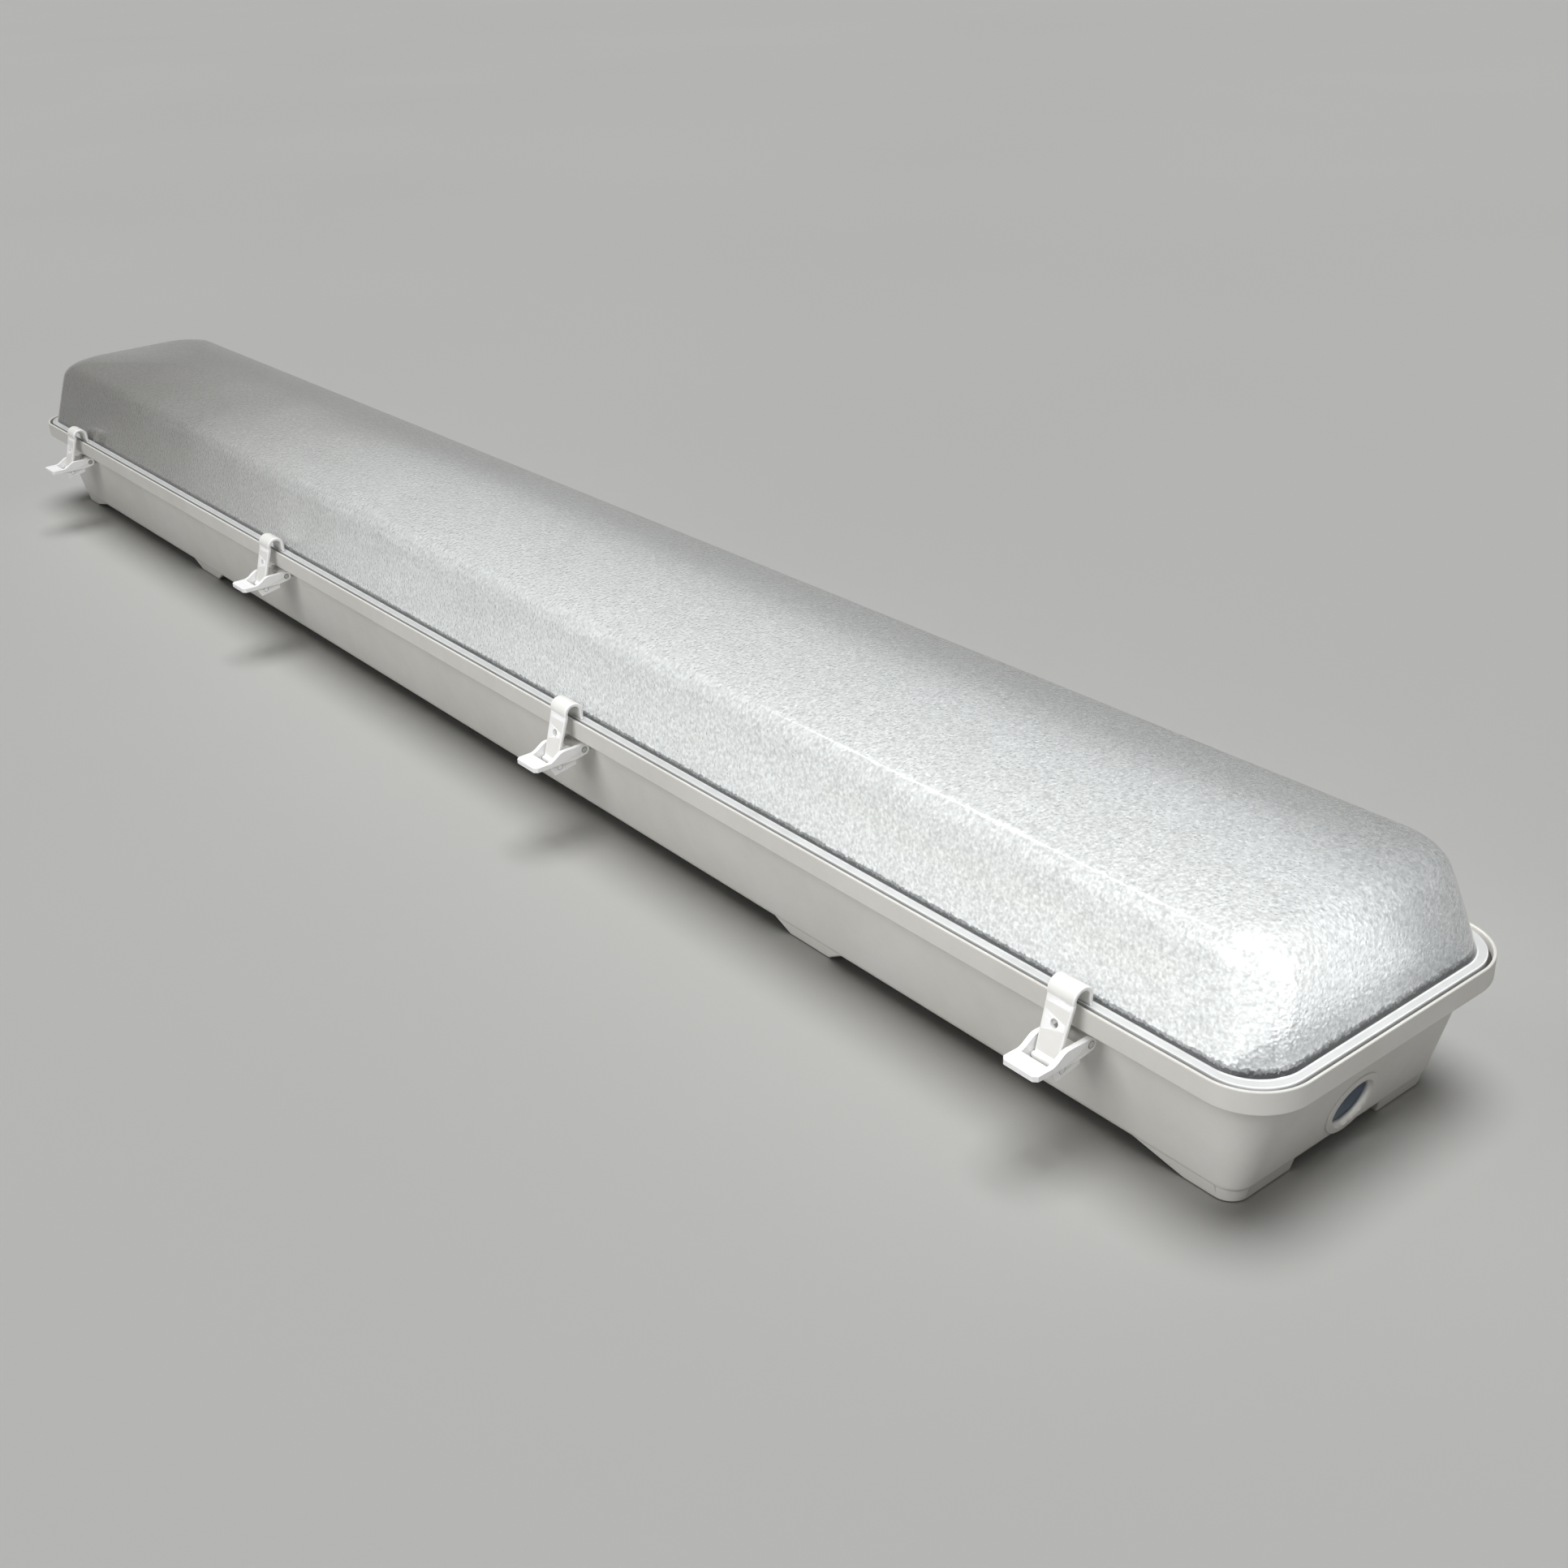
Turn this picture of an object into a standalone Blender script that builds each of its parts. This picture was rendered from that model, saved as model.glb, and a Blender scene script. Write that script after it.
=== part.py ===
"""A vapor tight light fixture lying on its back, lens up.

Metres, +Z up, +X to the end with the open conduit entry, -Y to the side seen first.
The origin is under the middle of the fixture, at the level its feet stand on.
"""

import math

import bmesh
import bpy
from mathutils import Matrix, Vector

# Overall sizes of the moulded rim, seen in plan
RIM_LENGTH = 1.300
RIM_WIDTH = 0.166
RIM_CORNER_RADIUS = 0.0275

# Tub: how far its outside lies inside the rim at its floor and at its mouth, and its corners
TUB_FLOOR_END_INSET = 0.0225
TUB_FLOOR_SIDE_INSET = 0.01725
TUB_FLOOR_CORNER_RADIUS = 0.01025
TUB_MOUTH_END_INSET = 0.0085
TUB_MOUTH_SIDE_INSET = 0.0085
TUB_MOUTH_CORNER_RADIUS = 0.0190
TUB_WALL = 0.0026
TUB_FLOOR_EDGE_RADIUS = 0.0030

# Rim channel: heights are above the feet's underside
FOOT_HEIGHT = 0.0060
SKIRT_BOTTOM_HEIGHT = 0.0595
FLANGE_UNDERSIDE_HEIGHT = 0.0622
CHANNEL_FLOOR_HEIGHT = 0.0642
INNER_LIP_HEIGHT = 0.0675
OUTER_LIP_HEIGHT = 0.0702
SKIRT_THICKNESS = 0.0024
OUTER_LIP_THICKNESS = 0.0015
CHANNEL_WIDTH = 0.0052
INNER_LIP_THICKNESS = 0.0025

# Feet moulded under the tub floor
MIDDLE_FOOT_FROM_END = 0.2870
MIDDLE_FOOT_LENGTH = 0.0500
MIDDLE_FOOT_RAMP = 0.0100
END_FOOT_LENGTH = 0.0500
END_FOOT_RAMP = 0.0250
END_FOOT_END_INSET = 0.0243
END_FOOT_WIDTH = 0.0360
END_FOOT_CORNER_RADIUS = 0.0090
FOOT_SIDE_INSET = 0.0187
FOOT_SIDE_RAMP = 0.0011

# Conduit entries in the end walls
ENTRY_RADIUS = 0.0111
ENTRY_HEIGHT = 0.0225
ENTRY_RING_RADIUS = 0.0155
ENTRY_RING_RAISE = 0.0009
ENTRY_CHAMFER = 0.0013

# Posts in the tub that carry the tray
POST_FROM_END = 0.0600
POST_FROM_SIDE = 0.0350
POST_RADIUS = 0.0045
POST_FOOT_RADIUS = 0.0058
POST_HOLE_DEPTH = 0.0140

# Gasket strip in the channel
GASKET_THICKNESS = 0.0019

# Lens: clear cover with a foot flange, drafted walls, round shoulders and an arched roof
LENS_THICKNESS = 0.0025
LENS_FOOT_INSET = 0.0070
LENS_FLANGE_TOP_HEIGHT = 0.0700
LENS_FLANGE_THICKNESS = 0.0020
LENS_FLANGE_EDGE_ROUND = 0.0005
LENS_FLANGE_GAP = 0.0005
LENS_TONGUE_THICKNESS = 0.0018
LENS_CROWN_HEIGHT = 0.1265
LENS_SIDE_SHOULDER_RADIUS = 0.0140
LENS_SIDE_ROOF_RADIUS = 0.2000
LENS_END_SHOULDER_RADIUS = 0.0210
LENS_END_ROOF_RADIUS = 1.1000
LENS_FLAT_ROOF_FROM_END = 0.1500
LENS_CORNER_RADIUS = 0.0225
LENS_SIDE_LEAN = math.radians(15.0)
LENS_END_LEAN = math.radians(14.0)
LENS_ROOF_CORNER_SHARE = 0.90
LENS_TOP_LOOP_SHARE = 0.12

# Latches: evenly spaced along each side
LATCHES_PER_SIDE = 4
LATCH_FROM_END = 0.0960
LEVER_PIVOT_INSET = 0.0025
LEVER_PIVOT_HEIGHT = 0.0535
LEVER_PIN_RADIUS = 0.0015
LEVER_LUG_WIDTH = 0.0134
LEVER_LUG_HALF_HEIGHT = 0.0026
LEVER_LUG_ROOT_DEPTH = 0.0013
LEVER_WIDTH = 0.0196
LEVER_ARM_THICKNESS = 0.0026
LEVER_EYE_RADIUS = 0.0030
LEVER_BAR_OUT = 0.0290
LEVER_BAR_DEPTH = 0.0090
LEVER_BAR_HEIGHT = 0.0510
LEVER_CORNER_CUT = 0.0018
LEVER_BAR_HALF_THICKNESS = 0.00125
LEVER_ARM_TOP = 0.0031
LEVER_ARM_BOTTOM = 0.0039
LEVER_LEVEL_REACH = 0.0125
HEEL_FRONT_REACH = 0.0220
HEEL_TIP_REACH = 0.0190
HEEL_BACK_REACH = 0.0055
HEEL_TIP_DROP = 0.0093
HEEL_BACK_DROP = 0.0069
HEEL_THICKNESS = 0.0017
STRAP_PIVOT_OUT = 0.0130
STRAP_PIVOT_HEIGHT = 0.0480
STRAP_HALF_THICKNESS = 0.00105
STRAP_FOOT_WIDTH = 0.0124
STRAP_HOOK_WIDTH = 0.0152
STRAP_EYE_RADIUS = 0.0020
STRAP_TRUNNION_RADIUS = 0.0014
STRAP_HOLE_RADIUS = 0.0021
STRAP_HOLE_FROM_PIVOT = 0.0165
HOOK_CENTRE_OUT = 0.0002
HOOK_CENTRE_HEIGHT = 0.0750
HOOK_MIDDLE_RADIUS = 0.0048

# Gear tray: folded steel sheet over the tub
TRAY_FROM_END = 0.0350
TRAY_FROM_SIDE = 0.0190
TRAY_TOP_HEIGHT = 0.0610
TRAY_SHEET = 0.0012
TRAY_FLANGE_DEPTH = 0.0140

# Boards on the tray
BOARD_FROM_TRAY_END = 0.0500
BOARD_FROM_MIDDLE = 0.0160
BOARD_THICKNESS = 0.0016
BOARD_END_GAP = 0.0100
BOARD_FROM_TRAY_SIDE = 0.0240
LINK_LENGTH = 0.0240
LINK_WIDTH = 0.0100
LINK_THICKNESS = 0.0032

# Driver and terminal block under the tray
DRIVER_CENTRE = -0.2000
DRIVER_LENGTH = 0.2300
DRIVER_WIDTH = 0.0420
DRIVER_HEIGHT = 0.0280
DRIVER_EDGE = 0.0020
DRIVER_TAB_LENGTH = 0.0120
DRIVER_TAB_WIDTH = 0.0200
DRIVER_TAB_THICKNESS = 0.0020
TERMINAL_FROM_END = 0.1200
TERMINAL_LENGTH = 0.0340
TERMINAL_WIDTH = 0.0240
TERMINAL_HEIGHT = 0.0150
TERMINAL_STEP = 0.0040
TERMINAL_PITCH = 0.0070
LEAD_WAY_DROP = 0.0100

# Screws
SCREW_HEAD_RADIUS = 0.0036
SCREW_HEAD_HEIGHT = 0.0021
SCREW_HEAD_EDGE = 0.0007
SCREW_SHANK_RADIUS = 0.0016
SCREW_SHANK_LENGTH = 0.0115
SCREW_SLOT_WIDTH = 0.0009
SCREW_SLOT_DEPTH = 0.0010
EARTH_SCREW_FROM_END = 0.1800

# Leads and the grommet they pass through
LEAD_RADIUS = 0.0010
LEAD_HOLE_RADIUS = 0.0015
LEAD_HOLE_DEPTH = 0.0050
LEAD_SAG = 0.0080
LEAD_ASIDE = 0.0020
GROMMET_FROM_DRIVER = 0.0350
GROMMET_RADIUS = 0.0065
GROMMET_BORE_RADIUS = 0.0038
GROMMET_NECK_RADIUS = 0.0048
GROMMET_LIP = 0.0012

# Plug in the far conduit entry
PLUG_HEAD_RADIUS = 0.0142
PLUG_HEAD_THICKNESS = 0.0024
PLUG_BARREL_WALL = 0.0018
PLUG_SNAP_RAISE = 0.0011
PLUG_SNAP_LENGTH = 0.0040

# Clearances and the overrun of every cut
FIT_GAP = 0.0003
OVERRUN = 0.0010

# Counts of straight pieces that stand for a round
CORNER_STEPS = 6
SHOULDER_STEPS = 7
ROOF_STEPS = 4
SMALL_ROUND_SIDES = 16
PIN_SIDES = 12
CORNER_CUT_SIDES = 4
ENTRY_SIDES = 40
HOOK_STEPS = 10
END_ROUND_STEPS = 5
SWEEP_STEPS = 5
LIP_STEPS = 3
FOOT_CORNER_STEPS = 4
FLOOR_EDGE_STEPS = 3
LEAD_STEPS = 5
LEAD_ROUND_STEPS = 1
SMOOTH_ANGLE = math.radians(32.0)

# Sizes that follow from the ones above
TUB_DRAFT_HEIGHT = FLANGE_UNDERSIDE_HEIGHT - FOOT_HEIGHT
CHANNEL_OUTER_INSET = OUTER_LIP_THICKNESS
CHANNEL_INNER_INSET = CHANNEL_OUTER_INSET + CHANNEL_WIDTH
TUB_FLOOR_LENGTH = RIM_LENGTH - 2 * TUB_FLOOR_END_INSET
TUB_FLOOR_WIDTH = RIM_WIDTH - 2 * TUB_FLOOR_SIDE_INSET
TUB_MOUTH_LENGTH = RIM_LENGTH - 2 * TUB_MOUTH_END_INSET
TUB_MOUTH_WIDTH = RIM_WIDTH - 2 * TUB_MOUTH_SIDE_INSET
MIDDLE_FOOT_CENTRE = RIM_LENGTH / 2 - MIDDLE_FOOT_FROM_END
TRAY_LENGTH = RIM_LENGTH - 2 * TRAY_FROM_END
TRAY_WIDTH = RIM_WIDTH - 2 * TRAY_FROM_SIDE
BOARD_LENGTH = TRAY_LENGTH / 2 - BOARD_END_GAP / 2 - BOARD_FROM_TRAY_END
BOARD_WIDTH = TRAY_WIDTH / 2 - BOARD_FROM_TRAY_SIDE - BOARD_FROM_MIDDLE
BOARD_ROW_CENTRE = BOARD_FROM_MIDDLE + BOARD_WIDTH / 2
TERMINAL_CENTRE = RIM_LENGTH / 2 - TERMINAL_FROM_END
EARTH_SCREW_CENTRE = RIM_LENGTH / 2 - EARTH_SCREW_FROM_END
GROMMET_CENTRE = DRIVER_CENTRE - DRIVER_LENGTH / 2 - GROMMET_FROM_DRIVER
TRAY_UNDERSIDE_HEIGHT = TRAY_TOP_HEIGHT - TRAY_SHEET
FLOOR_TOP_HEIGHT = FOOT_HEIGHT + TUB_WALL
BOARD_TOP_HEIGHT = TRAY_TOP_HEIGHT + FIT_GAP + BOARD_THICKNESS
UNDER_TRAY_HEIGHT = TRAY_UNDERSIDE_HEIGHT - FIT_GAP
PIN_HOLE_RADIUS = LEVER_PIN_RADIUS + FIT_GAP
SCREW_HOLE_RADIUS = SCREW_SHANK_RADIUS + FIT_GAP
SIDES = {"front": -1, "back": 1}
LATCH_OUTER_CENTRE = RIM_LENGTH / 2 - LATCH_FROM_END
LATCH_PITCH = 2 * LATCH_OUTER_CENTRE / (LATCHES_PER_SIDE - 1)
LATCH_CENTRES = tuple(LATCH_PITCH * i - LATCH_OUTER_CENTRE for i in range(LATCHES_PER_SIDE))


def clear_scene():
    """Remove every object that is already in the scene."""
    for obj in list(bpy.data.objects):
        bpy.data.objects.remove(obj, do_unlink=True)


def material(name, colour, roughness, metallic=0.0, transmission=0.0):
    """A plain shader of one colour for a sub-part."""
    made = bpy.data.materials.new(name)
    made.use_nodes = True
    shader = made.node_tree.nodes["Principled BSDF"]
    shader.inputs["Base Color"].default_value = (*colour, 1.0)
    shader.inputs["Roughness"].default_value = roughness
    shader.inputs["Metallic"].default_value = metallic
    shader.inputs["Transmission Weight"].default_value = transmission
    made.diffuse_color = (*colour, 1.0)
    return made


def housing_polyester():
    """Off-white glass fibre polyester of the tub."""
    return material("housing_polyester", (0.74, 0.74, 0.71), 0.55)


def clear_acrylic():
    """Clear moulded lens plastic."""
    return material("clear_acrylic", (0.90, 0.92, 0.93), 0.12, transmission=0.85)


def gasket_foam():
    """Dark foam strip."""
    return material("gasket_foam", (0.03, 0.03, 0.03), 0.9)


def latch_plastic():
    """White moulded plastic of levers and straps."""
    return material("latch_plastic", (0.86, 0.86, 0.83), 0.42)


def pin_steel():
    """Bright steel of pins and screws."""
    return material("pin_steel", (0.62, 0.62, 0.60), 0.3, metallic=1.0)


def tray_enamel():
    """White baked paint on the steel tray."""
    return material("tray_enamel", (0.90, 0.90, 0.89), 0.35)


def board_resist():
    """White solder resist of the boards."""
    return material("board_resist", (0.88, 0.88, 0.84), 0.4)


def driver_case():
    """Pale painted case of the driver."""
    return material("driver_case", (0.78, 0.79, 0.80), 0.45)


def terminal_plastic():
    """Blue-grey plastic of the terminal block and board links."""
    return material("terminal_plastic", (0.25, 0.28, 0.33), 0.5)


def plug_rubber():
    """Black rubber of the entry plug."""
    return material("plug_rubber", (0.04, 0.04, 0.04), 0.7)


def grommet_nylon():
    """White nylon of the ring the leads pass through."""
    return material("grommet_nylon", (0.84, 0.84, 0.81), 0.45)


def lead_cover(name, colour):
    """Coloured plastic cover of one lead."""
    return material(name, colour, 0.45)


def link(name, mesh, surface):
    """Put a mesh in the scene as an object of its own."""
    obj = bpy.data.objects.new(name, mesh)
    bpy.context.scene.collection.objects.link(obj)
    if not mesh.materials:
        mesh.materials.append(surface)
    return obj


def finish_mesh(name, form, surface, smooth=True):
    """Turn an edited form into an object with outward faces."""
    bmesh.ops.recalc_face_normals(form, faces=form.faces)
    mesh = bpy.data.meshes.new(name)
    form.to_mesh(mesh)
    form.free()
    if smooth:
        mesh.polygons.foreach_set("use_smooth", [True] * len(mesh.polygons))
        mesh.set_sharp_from_angle(angle=SMOOTH_ANGLE)
    return link(name, mesh, surface)


def loft(name, loops, surface, ring=False):
    """Skin a list of equal loops; both ends are capped unless the last loop joins the first."""
    form = bmesh.new()
    rows = [[form.verts.new(point) for point in loop] for loop in loops]
    pairs = list(zip(rows, rows[1:]))
    if ring:
        pairs.append((rows[-1], rows[0]))
    for lower, upper in pairs:
        count = len(lower)
        for i in range(count):
            j = (i + 1) % count
            form.faces.new((lower[i], lower[j], upper[j], upper[i]))
    if not ring:
        form.faces.new(list(reversed(rows[0])))
        form.faces.new(rows[-1])
    return finish_mesh(name, form, surface)


def round_loop(half_length, half_width, radius, height):
    """A rounded rectangle at one height, its corners drawn as arcs."""
    points = []
    for turn, (along, across) in enumerate(((1, 1), (-1, 1), (-1, -1), (1, -1))):
        for step in range(CORNER_STEPS + 1):
            angle = (turn + step / CORNER_STEPS) * math.pi / 2
            x = along * (half_length - radius) + radius * math.cos(angle)
            y = across * (half_width - radius) + radius * math.sin(angle)
            points.append((x, y, height))
    return points


def box(name, low, high, surface):
    """A plain block between two corners."""
    form = bmesh.new()
    bmesh.ops.create_cube(form, size=1.0)
    for vert in form.verts:
        share = vert.co + Vector((0.5, 0.5, 0.5))
        vert.co = Vector(a + (b - a) * s for a, b, s in zip(low, high, share))
    return finish_mesh(name, form, surface, smooth=False)


def prism(name, outline, half_width, surface):
    """An outline of (y, z) points drawn out along X; half_width gives the reach at each point."""
    form = bmesh.new()
    rows = [[form.verts.new((s * half_width(y, z), y, z)) for y, z in outline] for s in (-1, 1)]
    count = len(outline)
    for i in range(count):
        j = (i + 1) % count
        form.faces.new((rows[0][i], rows[0][j], rows[1][j], rows[1][i]))
    form.faces.new(list(reversed(rows[0])))
    form.faces.new(rows[1])
    return finish_mesh(name, form, surface)


def turned(name, profile, sides, surface, ring=False):
    """A profile of (radius, height) points turned about Z."""
    loops = []
    for radius, height in profile:
        angles = [2 * math.pi * i / sides for i in range(sides)]
        loops.append([(radius * math.cos(a), radius * math.sin(a), height) for a in angles])
    return loft(name, loops, surface, ring)


def rod(name, radius, start, end, sides, surface):
    """A round bar between two points."""
    start, end = Vector(start), Vector(end)
    reach = (end - start).length
    made = turned(name, ((radius, 0.0), (radius, reach)), sides, surface)
    turn = (end - start).to_track_quat("Z", "Y").to_matrix().to_4x4()
    made.data.transform(Matrix.Translation(start) @ turn)
    return made


def thick_path(points, half, round_ends=(False, False)):
    """The outline of a strip of even thickness along (y, z) points, its ends square or round."""
    points = [Vector(p) for p in points]
    normals = []
    for i, point in enumerate(points):
        before = (point - points[i - 1]).normalized() if i else None
        after = (points[i + 1] - point).normalized() if i + 1 < len(points) else None
        along = (before or after) + (after or before)
        lead = (after or before)
        normal = Vector((-along.y, along.x)).normalized()
        normals.append(normal / max(normal.dot(Vector((-lead.y, lead.x))), 0.5))
    outline = [p + n * half for p, n in zip(points, normals)]
    if round_ends[1]:
        outline += end_round(points[-1], normals[-1], half)
    outline += [p - n * half for p, n in reversed(list(zip(points, normals)))]
    if round_ends[0]:
        outline += end_round(points[0], -normals[0], half)
    return [tuple(p) for p in outline]


def end_round(centre, normal, half):
    """Points of a half circle that closes the end of a strip."""
    along = Vector((normal.y, -normal.x))
    angles = [math.pi * i / END_ROUND_STEPS for i in range(1, END_ROUND_STEPS)]
    return [centre + (normal * math.cos(a) + along * math.sin(a)) * half for a in angles]


def combine(target, others, operation):
    """Join other shapes to a target, or cut them out of it, with one Boolean for each."""
    for other in others:
        other.hide_render = True
        other.display_type = "WIRE"
        step = target.modifiers.new(other.name, "BOOLEAN")
        step.operation = operation
        step.solver = "EXACT"
        step.object = other


def settled(pattern, helpers):
    """The finished mesh of a shape with its Booleans; the shape and its helpers are removed."""
    bpy.context.view_layer.update()
    graph = bpy.context.evaluated_depsgraph_get()
    mesh = bpy.data.meshes.new_from_object(pattern.evaluated_get(graph))
    mesh.name = pattern.name
    mesh.polygons.foreach_set("use_smooth", [True] * len(mesh.polygons))
    mesh.set_sharp_from_angle(angle=SMOOTH_ANGLE)
    for obj in [pattern, *helpers]:
        bpy.data.objects.remove(obj, do_unlink=True)
    return mesh


def arc(centre, radius, start, end, steps):
    """(y, z) points of an arc, both ends included."""
    angles = [start + (end - start) * i / steps for i in range(steps + 1)]
    return [(centre[0] + radius * math.cos(a), centre[1] + radius * math.sin(a)) for a in angles]


# Housing tub


def rim_loop(inset, height):
    """A loop that runs parallel to the rim's outer edge."""
    return round_loop(
        RIM_LENGTH / 2 - inset, RIM_WIDTH / 2 - inset, RIM_CORNER_RADIUS - inset, height
    )


def wall_loop(height, inset=0.0):
    """A loop on the tub's drafted wall, or inside it by an inset."""
    rise = (height - FOOT_HEIGHT) / TUB_DRAFT_HEIGHT
    half_length = (TUB_FLOOR_LENGTH + (TUB_MOUTH_LENGTH - TUB_FLOOR_LENGTH) * rise) / 2
    half_width = (TUB_FLOOR_WIDTH + (TUB_MOUTH_WIDTH - TUB_FLOOR_WIDTH) * rise) / 2
    radius = TUB_FLOOR_CORNER_RADIUS + (TUB_MOUTH_CORNER_RADIUS - TUB_FLOOR_CORNER_RADIUS) * rise - inset
    return round_loop(half_length - inset, half_width - inset, radius, height)


def wall_reach(height):
    """How far the outside of the side wall is from the middle plane at one height."""
    rise = (height - FOOT_HEIGHT) / TUB_DRAFT_HEIGHT
    return (TUB_FLOOR_WIDTH + (TUB_MOUTH_WIDTH - TUB_FLOOR_WIDTH) * rise) / 2


def tub_shell():
    """The tub and its rim channel as one skin, from the floor outside to the floor inside."""
    edge = TUB_FLOOR_EDGE_RADIUS
    loops = []
    for i in range(FLOOR_EDGE_STEPS + 1):
        angle = math.pi / 2 * i / FLOOR_EDGE_STEPS
        height = FOOT_HEIGHT + edge * (1 - math.sin(angle))
        loops.append(wall_loop(height, edge * (1 - math.cos(angle))))
    loops.reverse()
    loops.append(wall_loop(FLANGE_UNDERSIDE_HEIGHT))
    loops.append(rim_loop(SKIRT_THICKNESS, FLANGE_UNDERSIDE_HEIGHT))
    loops.append(rim_loop(SKIRT_THICKNESS, SKIRT_BOTTOM_HEIGHT))
    loops.append(rim_loop(0.0, SKIRT_BOTTOM_HEIGHT))
    lip = OUTER_LIP_THICKNESS / 2
    for i in range(LIP_STEPS + 1):
        angle = math.pi * i / LIP_STEPS
        loops.append(rim_loop(lip * (1 - math.cos(angle)), OUTER_LIP_HEIGHT - lip * (1 - math.sin(angle))))
    loops.append(rim_loop(CHANNEL_OUTER_INSET, CHANNEL_FLOOR_HEIGHT))
    loops.append(rim_loop(CHANNEL_INNER_INSET, CHANNEL_FLOOR_HEIGHT))
    loops.append(rim_loop(CHANNEL_INNER_INSET, INNER_LIP_HEIGHT))
    loops.append(rim_loop(CHANNEL_INNER_INSET + INNER_LIP_THICKNESS, INNER_LIP_HEIGHT))
    loops.append(wall_loop(FLANGE_UNDERSIDE_HEIGHT, TUB_WALL))
    loops.append(wall_loop(FLOOR_TOP_HEIGHT, TUB_WALL))
    return loft("housing_tub", loops, housing_polyester())


def foot_plan(low, high, height, rounded, radius):
    """A rectangle at one height with one corner rounded: rounded holds that corner's signs, or zeros for none."""
    points = []
    for number, (a, b) in enumerate(((-1, -1), (1, -1), (1, 1), (-1, 1))):
        x = high[0] if a > 0 else low[0]
        y = high[1] if b > 0 else low[1]
        if (a, b) != rounded:
            points.append((x, y, height))
            continue
        for i in range(FOOT_CORNER_STEPS + 1):
            angle = math.pi * (1 + number / 2) + math.pi / 2 * i / FOOT_CORNER_STEPS
            around = (radius * math.cos(angle), radius * math.sin(angle))
            points.append((x - a * radius + around[0], y - b * radius + around[1], height))
    return points


def foot_block(name, near, far, low_side, high_side, ramp_near, ramp_far, rounded, surface):
    """A shallow foot with sloping sides: it is widest where it meets the tub floor."""
    top = FOOT_HEIGHT + TUB_WALL / 2
    grow = top / FOOT_HEIGHT
    side = FOOT_SIDE_RAMP * grow
    radius = END_FOOT_CORNER_RADIUS
    bottom_loop = foot_plan((near, low_side), (far, high_side), 0.0, rounded, radius)
    low = (near - ramp_near * grow, low_side - side)
    high = (far + ramp_far * grow, high_side + side)
    top_loop = foot_plan(low, high, top, rounded, radius + side)
    return loft(name, [bottom_loop, top_loop], surface)


def feet(surface):
    """Two bars across the middle and a pair of pads at each end."""
    reach = RIM_WIDTH / 2 - FOOT_SIDE_INSET
    made = []
    half = MIDDLE_FOOT_LENGTH / 2 - MIDDLE_FOOT_RAMP
    for sign in (-1, 1):
        middle = sign * MIDDLE_FOOT_CENTRE
        ramps = (MIDDLE_FOOT_RAMP, MIDDLE_FOOT_RAMP)
        name = f"middle_foot_{sign}"
        made.append(foot_block(name, middle - half, middle + half, -reach, reach, *ramps, (0, 0), surface))
        tip = RIM_LENGTH / 2 - END_FOOT_END_INSET
        root = tip - END_FOOT_LENGTH + END_FOOT_RAMP
        for side in (-1, 1):
            low, high = sorted((side * (reach - END_FOOT_WIDTH), side * reach))
            near, far = sorted((sign * root, sign * tip))
            slopes = (END_FOOT_RAMP, FOOT_SIDE_RAMP)[::sign]
            name = f"end_foot_{sign}_{side}"
            made.append(foot_block(name, near, far, low, high, *slopes, (sign, side), surface))
    return made


def lever_lug(name, x, side, surface):
    """The lug under the rim that a lever's pin passes through."""
    pivot = (RIM_WIDTH / 2 - LEVER_PIVOT_INSET, LEVER_PIVOT_HEIGHT)
    root = (wall_reach(LEVER_PIVOT_HEIGHT) - LEVER_LUG_ROOT_DEPTH, LEVER_PIVOT_HEIGHT)
    outline = thick_path((root, pivot), LEVER_LUG_HALF_HEIGHT, (False, True))
    outline = [(side * y, z) for y, z in outline]
    made = prism(name, outline, lambda y, z: LEVER_LUG_WIDTH / 2, surface)
    made.data.transform(Matrix.Translation((x, 0.0, 0.0)))
    return made


def entry_frame(sign):
    """The place and tilt of a conduit entry: Z of this frame is the end wall's outward normal."""
    draft = (TUB_MOUTH_LENGTH - TUB_FLOOR_LENGTH) / 2
    lean = math.atan2(draft, TUB_DRAFT_HEIGHT)
    reach = TUB_FLOOR_LENGTH / 2 + draft * (ENTRY_HEIGHT - FOOT_HEIGHT) / TUB_DRAFT_HEIGHT
    outward = Vector((sign * math.cos(lean), 0.0, -math.sin(lean)))
    turn = outward.to_track_quat("Z", "Y").to_matrix().to_4x4()
    return Matrix.Translation((sign * reach, 0.0, ENTRY_HEIGHT)) @ turn


def entry_ring(name, sign, surface):
    """The low ring round a conduit entry."""
    profile = ((ENTRY_RING_RADIUS, -TUB_WALL / 2), (ENTRY_RING_RADIUS, ENTRY_RING_RAISE))
    made = turned(name, profile, ENTRY_SIDES, surface)
    made.data.transform(entry_frame(sign))
    return made


def entry_bore(name, sign, surface):
    """The hole through an end wall with its chamfered mouth."""
    mouth = ENTRY_RADIUS + ENTRY_CHAMFER
    profile = (
        (ENTRY_RADIUS, -TUB_WALL - ENTRY_CHAMFER),
        (ENTRY_RADIUS, ENTRY_RING_RAISE - ENTRY_CHAMFER),
        (mouth, ENTRY_RING_RAISE),
        (mouth, ENTRY_RING_RAISE + OVERRUN),
    )
    made = turned(name, profile, ENTRY_SIDES, surface)
    made.data.transform(entry_frame(sign))
    return made


def tray_post(name, x, y, surface):
    """A post that stands on the tub floor and carries the tray."""
    bottom = FLOOR_TOP_HEIGHT - TUB_WALL / 2
    profile = ((POST_FOOT_RADIUS, bottom), (POST_RADIUS, UNDER_TRAY_HEIGHT))
    made = turned(name, profile, SMALL_ROUND_SIDES, surface)
    made.data.transform(Matrix.Translation((x, y, 0.0)))
    return made


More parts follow.
